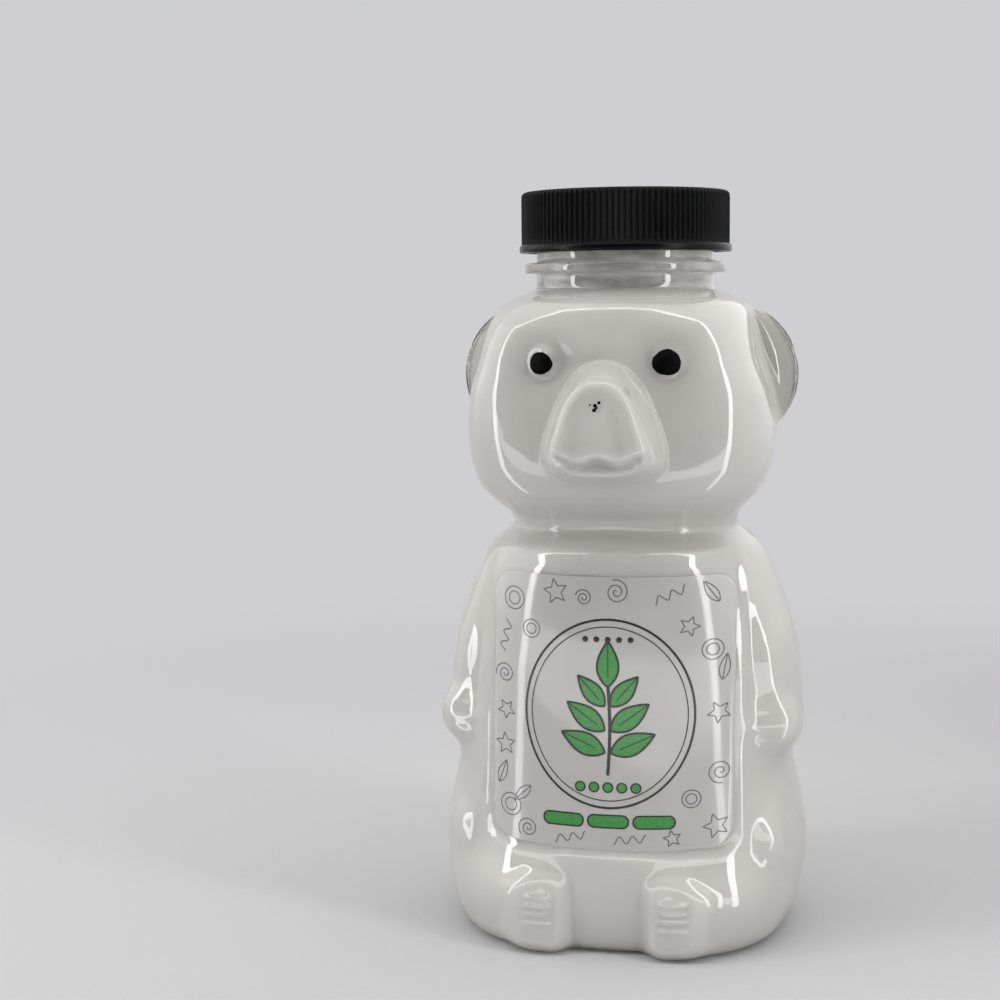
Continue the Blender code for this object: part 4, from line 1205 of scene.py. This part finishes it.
def badge_motifs():
    """Sprig in an oval badge with beads above it, drops under it and a band of three bars.

    Returns the green patches and the black lines.
    """
    stem = np.stack([STEM_BEND * np.sin(np.linspace(0, 3, 40)), np.linspace(*STEM_ENDS, 40)], axis=1)
    leaves = sprig_leaves()
    drops = [circle(DROP_RADIUS, 24) + (DROP_PITCH * place, DROP_UP) for place in range(-2, 3)]
    beads = [circle(BEAD_DOT_RADIUS, 20) + (BEAD_DOT_PITCH * place, BEAD_DOT_UP) for place in range(-2, 3)]
    bar_places = [(BAR_PITCH * place, BAR_UP) for place in range(-1, 2)]

    green = [patch(outline) for outline in leaves] + [patch(drop, 2) for drop in drops]
    green += [patch(rounded_box(*BAR_SHAPE, 60) + place) for place in bar_places]
    black = []
    for radius, width, count in BADGE_OVALS:
        black.append(ribbon(circle(radius, count) * BADGE_STRETCH, width, True))
    black.append(ribbon(stem, STEM_WIDTH))
    for outline in leaves:
        foot, tip = outline[0], outline[len(outline) // 2 - 1]
        vein = foot + (tip - foot) * np.linspace(0.05, 0.8, 12)[:, None]
        black.append(ribbon(outline, LEAF_LINE, True))
        black.append(ribbon(vein, VEIN_LINE))
    black += [ribbon(drop, DROP_LINE, True) for drop in drops]
    black += [ribbon(rounded_box(*BAR_SHAPE, 90) + place, BAR_LINE, True) for place in bar_places]
    black += [patch(bead, 2) for bead in beads]
    return green, black


# Pieces


def colours_and_sizes(context):
    """The two groups of settings."""
    return context.scene.bear_bottle_colours, context.scene.bear_bottle_sizes


def finish_piece(piece, body, slot, *nodes):
    """Let a piece ride on its body and stand for the nodes it replaces; the slot is not used."""
    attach(piece, body)
    if nodes:
        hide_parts(*nodes)


class MakeShell(bpy.types.Operator):
    """Blow the clear wall: outer skin, beaded and threaded neck, lip, bore and inner skin"""

    bl_idname = "bear_bottle.make_shell"
    bl_label = "Clear bottle"

    def execute(self, context):
        colours, sizes = colours_and_sizes(context)
        angles = column_angles()
        under = np.linspace(ROW_STEP, SIDE_START, 14, endpoint=False)
        outer = skin(np.concatenate([under, graded_rows()])[:, None], angles[None, :])
        inner_rows = np.concatenate([under[3:], graded_rows(INNER_PITCHES)])
        inner = skin(inner_rows[:, None], angles[None, :], sizes.wall)[::-1]
        rings = [self.base(outer[0]), outer, *self.neck(angles), inner]
        shell = closed_surface("clear_bottle", np.concatenate(rings), clear_polyester(colours, sizes))
        finish_piece(shell, "bottle", "clear_pet", "bottle")
        return {"FINISHED"}

    def base(self, first_ring):
        """Rings under the base, from the nub that the blowing leaves in its middle."""
        nub_depth, nub_share = 0.0004, 0.35
        centre = first_ring.mean(axis=0)
        shares = np.linspace(0.05, 1, 8, endpoint=False)[:, None, None]
        nub = np.array([0, 0, nub_depth]) * mound(shares / nub_share)
        return centre + (first_ring - centre) * shares - nub

    def neck(self, angles):
        """Beaded neck, its thread, and the lip and bore, each as turned rings."""
        wall = np.linspace(BODY_HEIGHT + NECK_FILLET, BEAD_BOTTOM - BEAD_ROOT, 7)[1:]
        bead_edge = BEAD_RADIUS - BEAD_CORNER
        plain_top, thread_start, thread_end = BEAD_TOP + 0.0012, BEAD_TOP + 0.0014, LIP_UP - 0.0006
        beaded = np.vstack(
            [
                np.stack([np.full(6, NECK_RADIUS), wall], axis=1),
                [(NECK_RADIUS + BEAD_ROOT, BEAD_BOTTOM)],
                arc((bead_edge, BEAD_BOTTOM + BEAD_CORNER), BEAD_CORNER, -90, 0),
                arc((bead_edge, BEAD_TOP - BEAD_CORNER), BEAD_CORNER, 0, 90),
                [(NECK_RADIUS + BEAD_ROOT, BEAD_TOP)],
                [(NECK_RADIUS, BEAD_TOP + BEAD_ROOT), (NECK_RADIUS, plain_top)],
            ]
        )
        heights = np.linspace(thread_start, thread_end, 52)
        ridge = helix_field(angles[None, :], heights[:, None], THREAD_BOTTOM, THREAD_TURNS, 0.0)
        outer_corner, inner_corner = LIP_CORNERS
        lip = np.vstack(
            [
                arc((NECK_RADIUS - outer_corner, LIP_UP - outer_corner), outer_corner, 0, 90),
                arc((BORE_RADIUS + inner_corner, LIP_UP - inner_corner), inner_corner, 90, 180),
                [(BORE_RADIUS, height) for height in BORE_HEIGHTS],
            ]
        )
        return (
            turned(beaded[:, 0], beaded[:, 1], angles),
            turned(NECK_RADIUS + THREAD_DEPTH * ridge, heights, angles),
            turned(lip[:, 0], lip[:, 1], angles),
        )


class MakeGlue(bpy.types.Operator):
    """Fill the bottle with glue up to its level, and leave a dried film inside the neck"""

    bl_idname = "bear_bottle.make_glue"
    bl_label = "White glue"

    def execute(self, context):
        colours, sizes = colours_and_sizes(context)
        self.fill(colours, sizes)
        self.leave_film(colours)
        return {"FINISHED"}

    def fill(self, colours, sizes):
        """Glue up to its level: the skin drawn in, then a meniscus that climbs by a sum of sines."""
        angles = column_angles()
        under = np.linspace(ROW_STEP, SIDE_START, 8, endpoint=False)
        wider, below_level = 1.1, 0.0001
        rows = np.concatenate([under, graded_rows(wider * PITCHES)])
        body = skin(rows[:, None], angles[None, :], sizes.wall - WETTING)
        body = body[body[:, :, 2].max(axis=1) < sizes.fill_level - below_level]

        least_climb, more_climb, soak = 0.0001, 0.0004, 0.0002
        wobble = 0.25 * np.sin(3 * angles + 0.7) + 0.15 * np.sin(7 * angles + 2.1)
        wobble = 0.5 + wobble + 0.1 * np.sin(17 * angles)
        climb = least_climb + more_climb * wobble
        heights = sizes.fill_level + climb * np.array(MENISCUS_CLIMB)[:, None]
        radii = np.interp(heights, *NECK_INSIDE) + soak
        radii[3:] = radii[2] - np.array(MENISCUS_INSETS)[:, None]
        radii[0] = np.minimum(np.hypot(body[-1, :, 0], body[-1, :, 1]), radii[0])
        rings = np.concatenate([body, turned(radii, heights, angles)])
        glue = closed_surface("glue_body", rings, white_glue(colours))
        finish_piece(glue, "bottle", "white_glue", "glue_fill")

    def leave_film(self, colours):
        """Dried film up the inside of the neck: a thin sleeve on the wall, its edge a sum of sines."""
        angles = np.linspace(0, 2 * math.pi, 240, endpoint=False)
        edge = 0.0004 * np.sin(2 * angles) + 0.0002 * np.sin(5 * angles + 1) + 0.0001 * np.sin(13 * angles)
        rise = (RESIDUE_TOP + edge - RESIDUE_BOTTOM) * np.linspace(0, 1, 46)[:, None]
        sag_depth, sags_up = 0.00006, 1500
        sag = sag_depth * np.sin(sags_up * rise + 2 * np.sin(3 * angles) + 1.3 * np.sin(5 * angles))
        heights = RESIDUE_BOTTOM + rise
        wall = np.interp(heights, *NECK_INSIDE)
        outer = turned(wall + RESIDUE_FACES[0], heights, angles)
        inner = turned(wall - RESIDUE_FACES[1] - sag, heights, angles)[::-1]
        rings = np.concatenate([outer, inner])
        sleeve = closed_surface("neck_residue", rings, glue_residue(colours), False)
        finish_piece(sleeve, "bottle", "white_glue")


class MakeLabels(bpy.types.Operator):
    """Lay the front and back film and print the leaf badge and line motifs on the front"""

    bl_idname = "bear_bottle.make_labels"
    bl_label = "Labels"

    def execute(self, context):
        colours, sizes = colours_and_sizes(context)
        film = label_film(colours)
        black = printing_ink("black flexo ink", tuple(colours.black))
        green = printing_ink("green flexo ink", tuple(colours.green))
        grey = printing_ink("grey flexo ink", tuple(colours.grey))
        for name, behind, node in (("front_film", False, "front_label"), ("back_film", True, "back_label")):
            self.lay_film(name, behind, node, film, sizes)

        # Black is printed over the other inks, so it stands higher, by these shares of the ink's height
        first_layer, top_layer = 0.3, 1.5
        patches, lines = badge_motifs()
        printed = (
            ("grey_line_motifs", grey_motifs(), first_layer, grey),
            ("green_leaf_print", patches, first_layer, green),
            ("black_line_print", lines, top_layer, black),
        )
        ground = FILM_GAP + sizes.film
        for name, motifs, layers, ink in printed:
            piece = print_on_film(name, motifs, ground + sizes.ink * layers, sizes.ink, ink)
            finish_piece(piece, "bottle", "front_film")

        border = ribbon(rounded_box(*BACK_BORDER, 220), LEAF_LINE, True)
        drawn = [border, ribbon(sprig_leaves()[0] * BACK_LEAF_SCALE, LEAF_LINE, True)]
        piece = print_on_film("back_line_print", drawn, ground + sizes.ink, sizes.ink, black, True)
        finish_piece(piece, "bottle", "back_film")
        return {"FINISHED"}

    def lay_film(self, name, behind, node, material, sizes):
        """Rounded sheet on the skin: width by height, its rows shortened in the corners."""
        turn = np.linspace(0, math.pi / 2, 12)
        tall = FILM_TOP - FILM_BOTTOM
        curve = FILM_CORNER * (1 - np.cos(turn))
        straight = np.linspace(FILM_CORNER, tall - FILM_CORNER, 62)[1:-1]
        rises = np.concatenate([curve, straight, tall - curve[::-1]])
        short = FILM_CORNER * (1 - np.sin(turn))
        shorts = np.concatenate([short, np.zeros(60), short[::-1]])
        across = np.linspace(-1, 1, 72)[None, :] * (FILM_HALF - shorts)[:, None]
        up = np.broadcast_to((FILM_BOTTOM + rises)[:, None], across.shape)
        aside = 0 if behind else FILM_ASIDE
        points = on_skin(across + aside, up, np.full(across.shape, FILM_GAP), behind)
        sheet = put_mesh(name, points, [grid_faces(*across.shape, False)], material)
        thicken(sheet, sizes.film)
        finish_piece(sheet, "bottle", name, node)


def thicken(piece, thickness):
    """Give an open sheet its thickness on the outer side, with its rim closed."""
    solid = piece.modifiers.new("thickness", "SOLIDIFY")
    solid.thickness = thickness
    solid.offset = 1
    solid.use_rim = True


class MakeEyes(bpy.types.Operator):
    """Dab black paint on both eyes and a few specks above the nose"""

    bl_idname = "bear_bottle.make_eyes"
    bl_label = "Eye paint"

    def execute(self, context):
        colours, sizes = colours_and_sizes(context)
        paint = eye_paint(colours)

        # Eyes: piece, node, middle, half size and phase of the wobble
        dabs = (
            ("eye_paint_left", "eye_left", (-0.0118, 0.1116), (0.00218, 0.00207), 0.4),
            ("eye_paint_right", "eye_right", (0.0113, 0.1117), (0.00264, 0.00238), 2.3),
        )
        for name, node, middle, size, phase in dabs:
            piece = self.dab(name, middle, size, phase, 64, 9, sizes.paint, paint)
            finish_piece(piece, "bottle", "black_paint", node)

        # Specks: across, up and radius
        specks = (
            (-0.0002, 0.1045, 0.00036),
            (0.0005, 0.1050, 0.00030),
            (-0.0003, 0.1037, 0.00038),
            (-0.0011, 0.1046, 0.00017),
            (0.0001, 0.1041, 0.00025),
        )
        for index, (across, up, radius) in enumerate(specks):
            size = (radius, radius * 0.9)
            name = f"nose_speck_{index + 1}"
            piece = self.dab(name, (across, up), size, index, 20, 4, radius / 6, paint)
            finish_piece(piece, "bottle", "black_paint")
        return {"FINISHED"}

    def dab(self, name, middle, size, phase, count, rings, height, material):
        """Polar dab: radius wobbling by a sum of cosines, height falling off to the skin at its rim."""
        turn = np.linspace(0, 2 * math.pi, count, endpoint=False)
        broad, fine = 0.035, 0.012
        wobble = 1 + broad * np.cos(3 * turn + phase)
        wobble = wobble + fine * (np.cos(5 * turn + 2 * phase) + np.cos(9 * turn))
        shares = np.linspace(1, 0, rings, endpoint=False)[:, None]
        across = np.append(middle[0] + size[0] * shares * wobble * np.cos(turn), middle[0])
        up = np.append(middle[1] + size[1] * shares * wobble * np.sin(turn), middle[1])
        lift = np.append(np.repeat(height * (1 - shares**6), count), height)
        blocks = [grid_faces(rings, count, True), fan_faces((rings - 1) * count, rings * count, count)]
        return put_mesh(name, on_skin(across, up, lift), blocks, material)


class MakeCap(bpy.types.Operator):
    """Mould the ribbed cap with its plain band, smooth top and inner thread"""

    bl_idname = "bear_bottle.make_cap"
    bl_label = "Screw cap"

    def execute(self, context):
        colours, sizes = colours_and_sizes(context)
        count = sizes.rib_count * RIB_STEPS
        angles = np.linspace(0, 2 * math.pi, count, endpoint=False)
        groove = np.abs(np.sin(np.pi * (np.arange(count) % RIB_STEPS) / RIB_STEPS)) ** RIB_ROUND
        profile = self.outside_profile()
        radii = profile[:, :1] - profile[:, 2:] * sizes.rib_depth * groove
        outside = turned(radii, profile[:, 1], angles)[::-1]
        rings = np.concatenate([outside, *self.inside(angles)])[::-1]
        cap = closed_surface("ribbed_cap", rings, cap_plastic(colours))
        cap.data.set_sharp_from_angle(angle=math.radians(60))
        finish_piece(cap, "cap", "black_pp", "screw_cap")
        return {"FINISHED"}

    def outside_profile(self):
        """Points of (radius, height, share of the grooves' depth) from the foot to the middle on top."""
        band_inner, band_corner = CAP_BAND_RADIUS - 0.0002, 0.0002
        profile = [
            (CAP_BORE + 0.0004, CAP_BOTTOM, 0),
            (band_inner, CAP_BOTTOM, 0),
            (CAP_BAND_RADIUS, CAP_BOTTOM + band_corner, 0),
            (CAP_BAND_RADIUS, CAP_BAND_TOP - 0.00025, 0),
            (band_inner, CAP_BAND_TOP, 0),
            (CAP_RADIUS, CAP_BAND_TOP + 0.0001, 0.2),
            (CAP_RADIUS, CAP_BAND_TOP + 0.0004, 1),
        ]
        flank = np.linspace(CAP_BAND_TOP + 0.002, CAP_TOP - CAP_EDGE - 0.0003, 4)
        profile += [(CAP_RADIUS, height, 1) for height in flank]
        profile += [(CAP_RADIUS - 0.00005, CAP_TOP - CAP_EDGE, 0.9)]
        edge = arc((CAP_RADIUS - CAP_EDGE, CAP_TOP - CAP_EDGE), CAP_EDGE, 8, 90, 8)
        edge = np.column_stack([edge, np.linspace(0.75, 0, 8)])
        disc = [(radius, CAP_TOP - under, 0) for radius, under in CAP_DISC]
        return np.vstack([profile, edge, disc])

    def inside(self, angles):
        """Threaded bore and the roof over it, each as turned rings."""
        threaded = np.linspace(CAP_BOTTOM + 0.0006, CAP_INSIDE_TOP - 0.001, 34)
        heights = np.concatenate([[CAP_BOTTOM + 0.0004], threaded])
        lowest = THREAD_BOTTOM - sum(THREAD_HALVES) - THREAD_PLAY
        start = 2 * math.pi * (CAP_THREAD_BOTTOM - lowest) / THREAD_PITCH
        ridge = helix_field(angles[None, :], heights[:, None], CAP_THREAD_BOTTOM, CAP_THREAD_TURNS, start)
        bore = turned(CAP_BORE - (CAP_BORE - CAP_THREAD_TIP) * ridge, heights, angles)
        radii = (CAP_BORE, CAP_BORE - 0.0003, 0.0120, 0.0040)
        roof = turned(radii, (CAP_INSIDE_TOP - 0.0004, *[CAP_INSIDE_TOP] * 3), angles)
        return bore, roof


class MakeLiner(bpy.types.Operator):
    """Press the foam disc that seals the lip, with the ring the lip leaves in it"""

    bl_idname = "bear_bottle.make_liner"
    bl_label = "Cap liner"

    def execute(self, context):
        colours, _ = colours_and_sizes(context)
        angles = np.linspace(0, 2 * math.pi, 144, endpoint=False)
        rim_centre = LINER_RADIUS - LINER_CORNER
        under = np.linspace(LINER_HOLE, rim_centre, 40)
        lip_middle = (NECK_RADIUS + BORE_RADIUS) / 2
        dent = DENT_DEPTH * mound((under - lip_middle) / DENT_HALF)
        rim = np.vstack(
            [
                arc((rim_centre, LINER_BOTTOM + LINER_CORNER), LINER_CORNER, -90, 0),
                arc((rim_centre, LINER_TOP - LINER_CORNER), LINER_CORNER, 0, 90),
            ]
        )
        upper = np.linspace(rim_centre - LINER_CORNER, LINER_HOLE, 10)
        radii = np.concatenate([under[:-1], rim[:, 0], upper])
        heights = np.concatenate([(LINER_BOTTOM + dent)[:-1], rim[:, 1], np.full(10, LINER_TOP)])
        liner = closed_surface("foam_liner", turned(radii, heights, angles), liner_foam(colours))
        finish_piece(liner, "liner", "liner_foam", "cap_liner")
        return {"FINISHED"}


class MakeStage(bpy.types.Operator):
    """Set up the paper sweep, the soft light tent and the camera"""

    bl_idname = "bear_bottle.make_stage"
    bl_label = "Stage"

    def execute(self, context):
        colours, _ = colours_and_sizes(context)
        self.place_camera(context)
        self.lay_floor(colours)
        self.hang_tent(context.scene.bear_bottle_lights)

        world = bpy.data.worlds.new("soft air")
        world.use_nodes = True
        air = world.node_tree.nodes["Background"].inputs
        air["Color"].default_value = (*colours.backdrop, 1)
        air["Strength"].default_value = context.scene.bear_bottle_lights.air
        context.scene.world = world
        context.scene.view_settings.view_transform = "Standard"
        return {"FINISHED"}

    def place_camera(self, context):
        """Camera turned 12.2 degrees round the bottle, 124 mm up, looking 6.5 degrees down."""
        ahead = Vector((-math.sin(VIEW_TURN), math.cos(VIEW_TURN), 0))
        right = Vector((math.cos(VIEW_TURN), math.sin(VIEW_TURN), 0))
        look = ahead * math.cos(VIEW_PITCH) - Vector((0, 0, math.sin(VIEW_PITCH)))
        up = right.cross(look)
        tilted_right = right * math.cos(VIEW_ROLL) - up * math.sin(VIEW_ROLL)
        tilted_up = up * math.cos(VIEW_ROLL) + right * math.sin(VIEW_ROLL)
        matrix = Matrix((tilted_right, tilted_up, -look)).transposed().to_4x4()
        matrix.translation = Vector((0, AXIS_BACK, VIEW_HEIGHT)) - VIEW_DISTANCE * ahead - VIEW_ASIDE * right
        lens = bpy.data.cameras.new("camera")
        lens.sensor_width = 36
        lens.lens = LENS
        lens.clip_start = 0.01
        camera = bpy.data.objects.new("camera", lens)
        context.scene.collection.objects.link(camera)
        camera.matrix_world = matrix
        context.scene.camera = camera

    def lay_floor(self, colours):
        """Flat round sheet: rings at growing radii about a middle point, facing up."""
        radii = np.array([30.0, 10.0, 3.0, 1.0, 0.4, 0.2, 0.05])
        rings, count = len(radii), 96
        angles = np.linspace(0, 2 * math.pi, count, endpoint=False)
        points = np.vstack([turned(radii, np.zeros(rings), angles).reshape(-1, 3), [(0, 0, 0)]])
        blocks = [grid_faces(rings, count, True), fan_faces((rings - 1) * count, rings * count, count)]
        put_mesh("paper_floor", points, blocks, paper_floor(colours))

    def hang_tent(self, lights):
        """Dim opening with lit edges in front, an apron below it, soft walls and a ceiling.

        Each cloth is its middle plus and minus two half sides.
        """
        out = Vector((math.sin(VIEW_TURN), -math.cos(VIEW_TURN), 0))
        side = Vector((math.cos(VIEW_TURN), math.sin(VIEW_TURN), 0))
        up, low = Vector((0, 0, TENT_HALF_HEIGHT)), Vector((0, 0, APRON_HALF))
        near, far, left, right = out * TENT_NEAR, out * TENT_FAR, side * TENT_LEFT, side * TENT_RIGHT
        middle, across = (left + right) / 2, (right - left) / 2
        centre, deep = (near + far) / 2, (near - far) / 2
        edges = {name: out * depth for name, depth in EDGE_DEPTHS.items()}
        front = near + middle
        cloths = [
            ("opening", front + up + low, across, up - low, lights.opening, 1.0),
            ("apron", front + low, across, low, lights.apron, 1.0),
            ("opening_edge_top", front - edges["top"] + 2 * up, across, edges["top"], lights.edges, 1.0),
            (
                "soft_ceiling",
                centre - edges["top"] + middle + 2 * up,
                across,
                deep - edges["top"],
                lights.top,
                1.0,
            ),
        ]
        for name, aside, strength in (("left", left, lights.left), ("right", right, lights.right)):
            edge = edges[name]
            edge_middle, wall_middle = near - edge + aside + up, centre - edge + aside + up
            cloths.append(("opening_edge_" + name, edge_middle, edge, up, lights.edges, EDGE_FOOT))
            cloths.append(("soft_wall_" + name, wall_middle, deep - edge, up, strength, WALL_FOOT))
        for name, place, half_a, half_b, strength, foot in cloths:
            signs = ((-1, -1), (1, -1), (1, 1), (-1, 1))
            corners = [place + half_a * a + half_b * b for a, b in signs]
            cloth = self.hang(name, corners, light_cloth(name.replace("_", " "), strength, foot))
            cloth.visible_diffuse = name != "apron"

        lit = light_cloth("floor strips", lights.edges * STRIP_LEVEL, 1.0)
        for name, aside in (("left", left), ("right", right)):
            self.lay_strip(name, near + aside, edges[name], lit)

    def lay_strip(self, name, corner, edge, material):
        """Wedge on the floor that carries an edge of the opening on, in reflections only."""
        across, along, start = STRIP_SPOTS[name]
        spot = Vector((across, along, 0))
        ends = (corner, corner - 2 * edge)
        tips = [spot + (end - spot) * start for end in reversed(ends)]
        corners = [point + Vector((0, 0, STRIP_LIFT)) for point in (*ends, *tips)]
        strip = self.hang("floor_strip_" + name, corners, material)
        strip.visible_diffuse = False
        strip.visible_transmission = False
        strip.visible_shadow = False

    def hang(self, name, corners, material):
        """Flat lit cloth between four corners about the neck axis; the camera doesn't see it."""
        cloth = put_mesh(name, corners, [np.array([[0, 1, 2, 3]])], material)
        cloth.visible_camera = False
        return cloth


class BearBottlePanel(bpy.types.Panel):
    """Settings and steps of the bear bottle"""

    bl_idname = "VIEW3D_PT_bear_bottle"
    bl_label = "Bear bottle"
    bl_space_type = "VIEW_3D"
    bl_region_type = "UI"
    bl_category = "Bear bottle"

    def draw(self, context):
        scene = context.scene
        for group in (scene.bear_bottle_sizes, scene.bear_bottle_colours, scene.bear_bottle_lights):
            box = self.layout.box()
            for name in group.__annotations__:
                box.prop(group, name)
        for operator in OPERATORS:
            self.layout.operator(operator.bl_idname)


OPERATORS = (MakeShell, MakeGlue, MakeLabels, MakeEyes, MakeCap, MakeLiner, MakeStage)
SETTINGS = {
    "bear_bottle_sizes": BearBottleSizes,
    "bear_bottle_colours": BearBottleColours,
    "bear_bottle_lights": BearBottleLights,
}
CLASSES = (*SETTINGS.values(), *OPERATORS, BearBottlePanel)


def register():
    """Register every class, and give the scene its three groups of settings."""
    for each in CLASSES:
        bpy.utils.register_class(each)
    for name, group in SETTINGS.items():
        setattr(bpy.types.Scene, name, PointerProperty(type=group))


def unregister():
    """Take the settings off the scene and unregister every class."""
    for name in SETTINGS:
        delattr(bpy.types.Scene, name)
    for each in reversed(CLASSES):
        bpy.utils.unregister_class(each)


def main():
    """Register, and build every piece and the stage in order."""
    register()
    bpy.ops.bear_bottle.make_shell()
    bpy.ops.bear_bottle.make_glue()
    bpy.ops.bear_bottle.make_labels()
    bpy.ops.bear_bottle.make_eyes()
    bpy.ops.bear_bottle.make_cap()
    bpy.ops.bear_bottle.make_liner()
    bpy.ops.bear_bottle.make_stage()


if __name__ == "__main__":
    main()
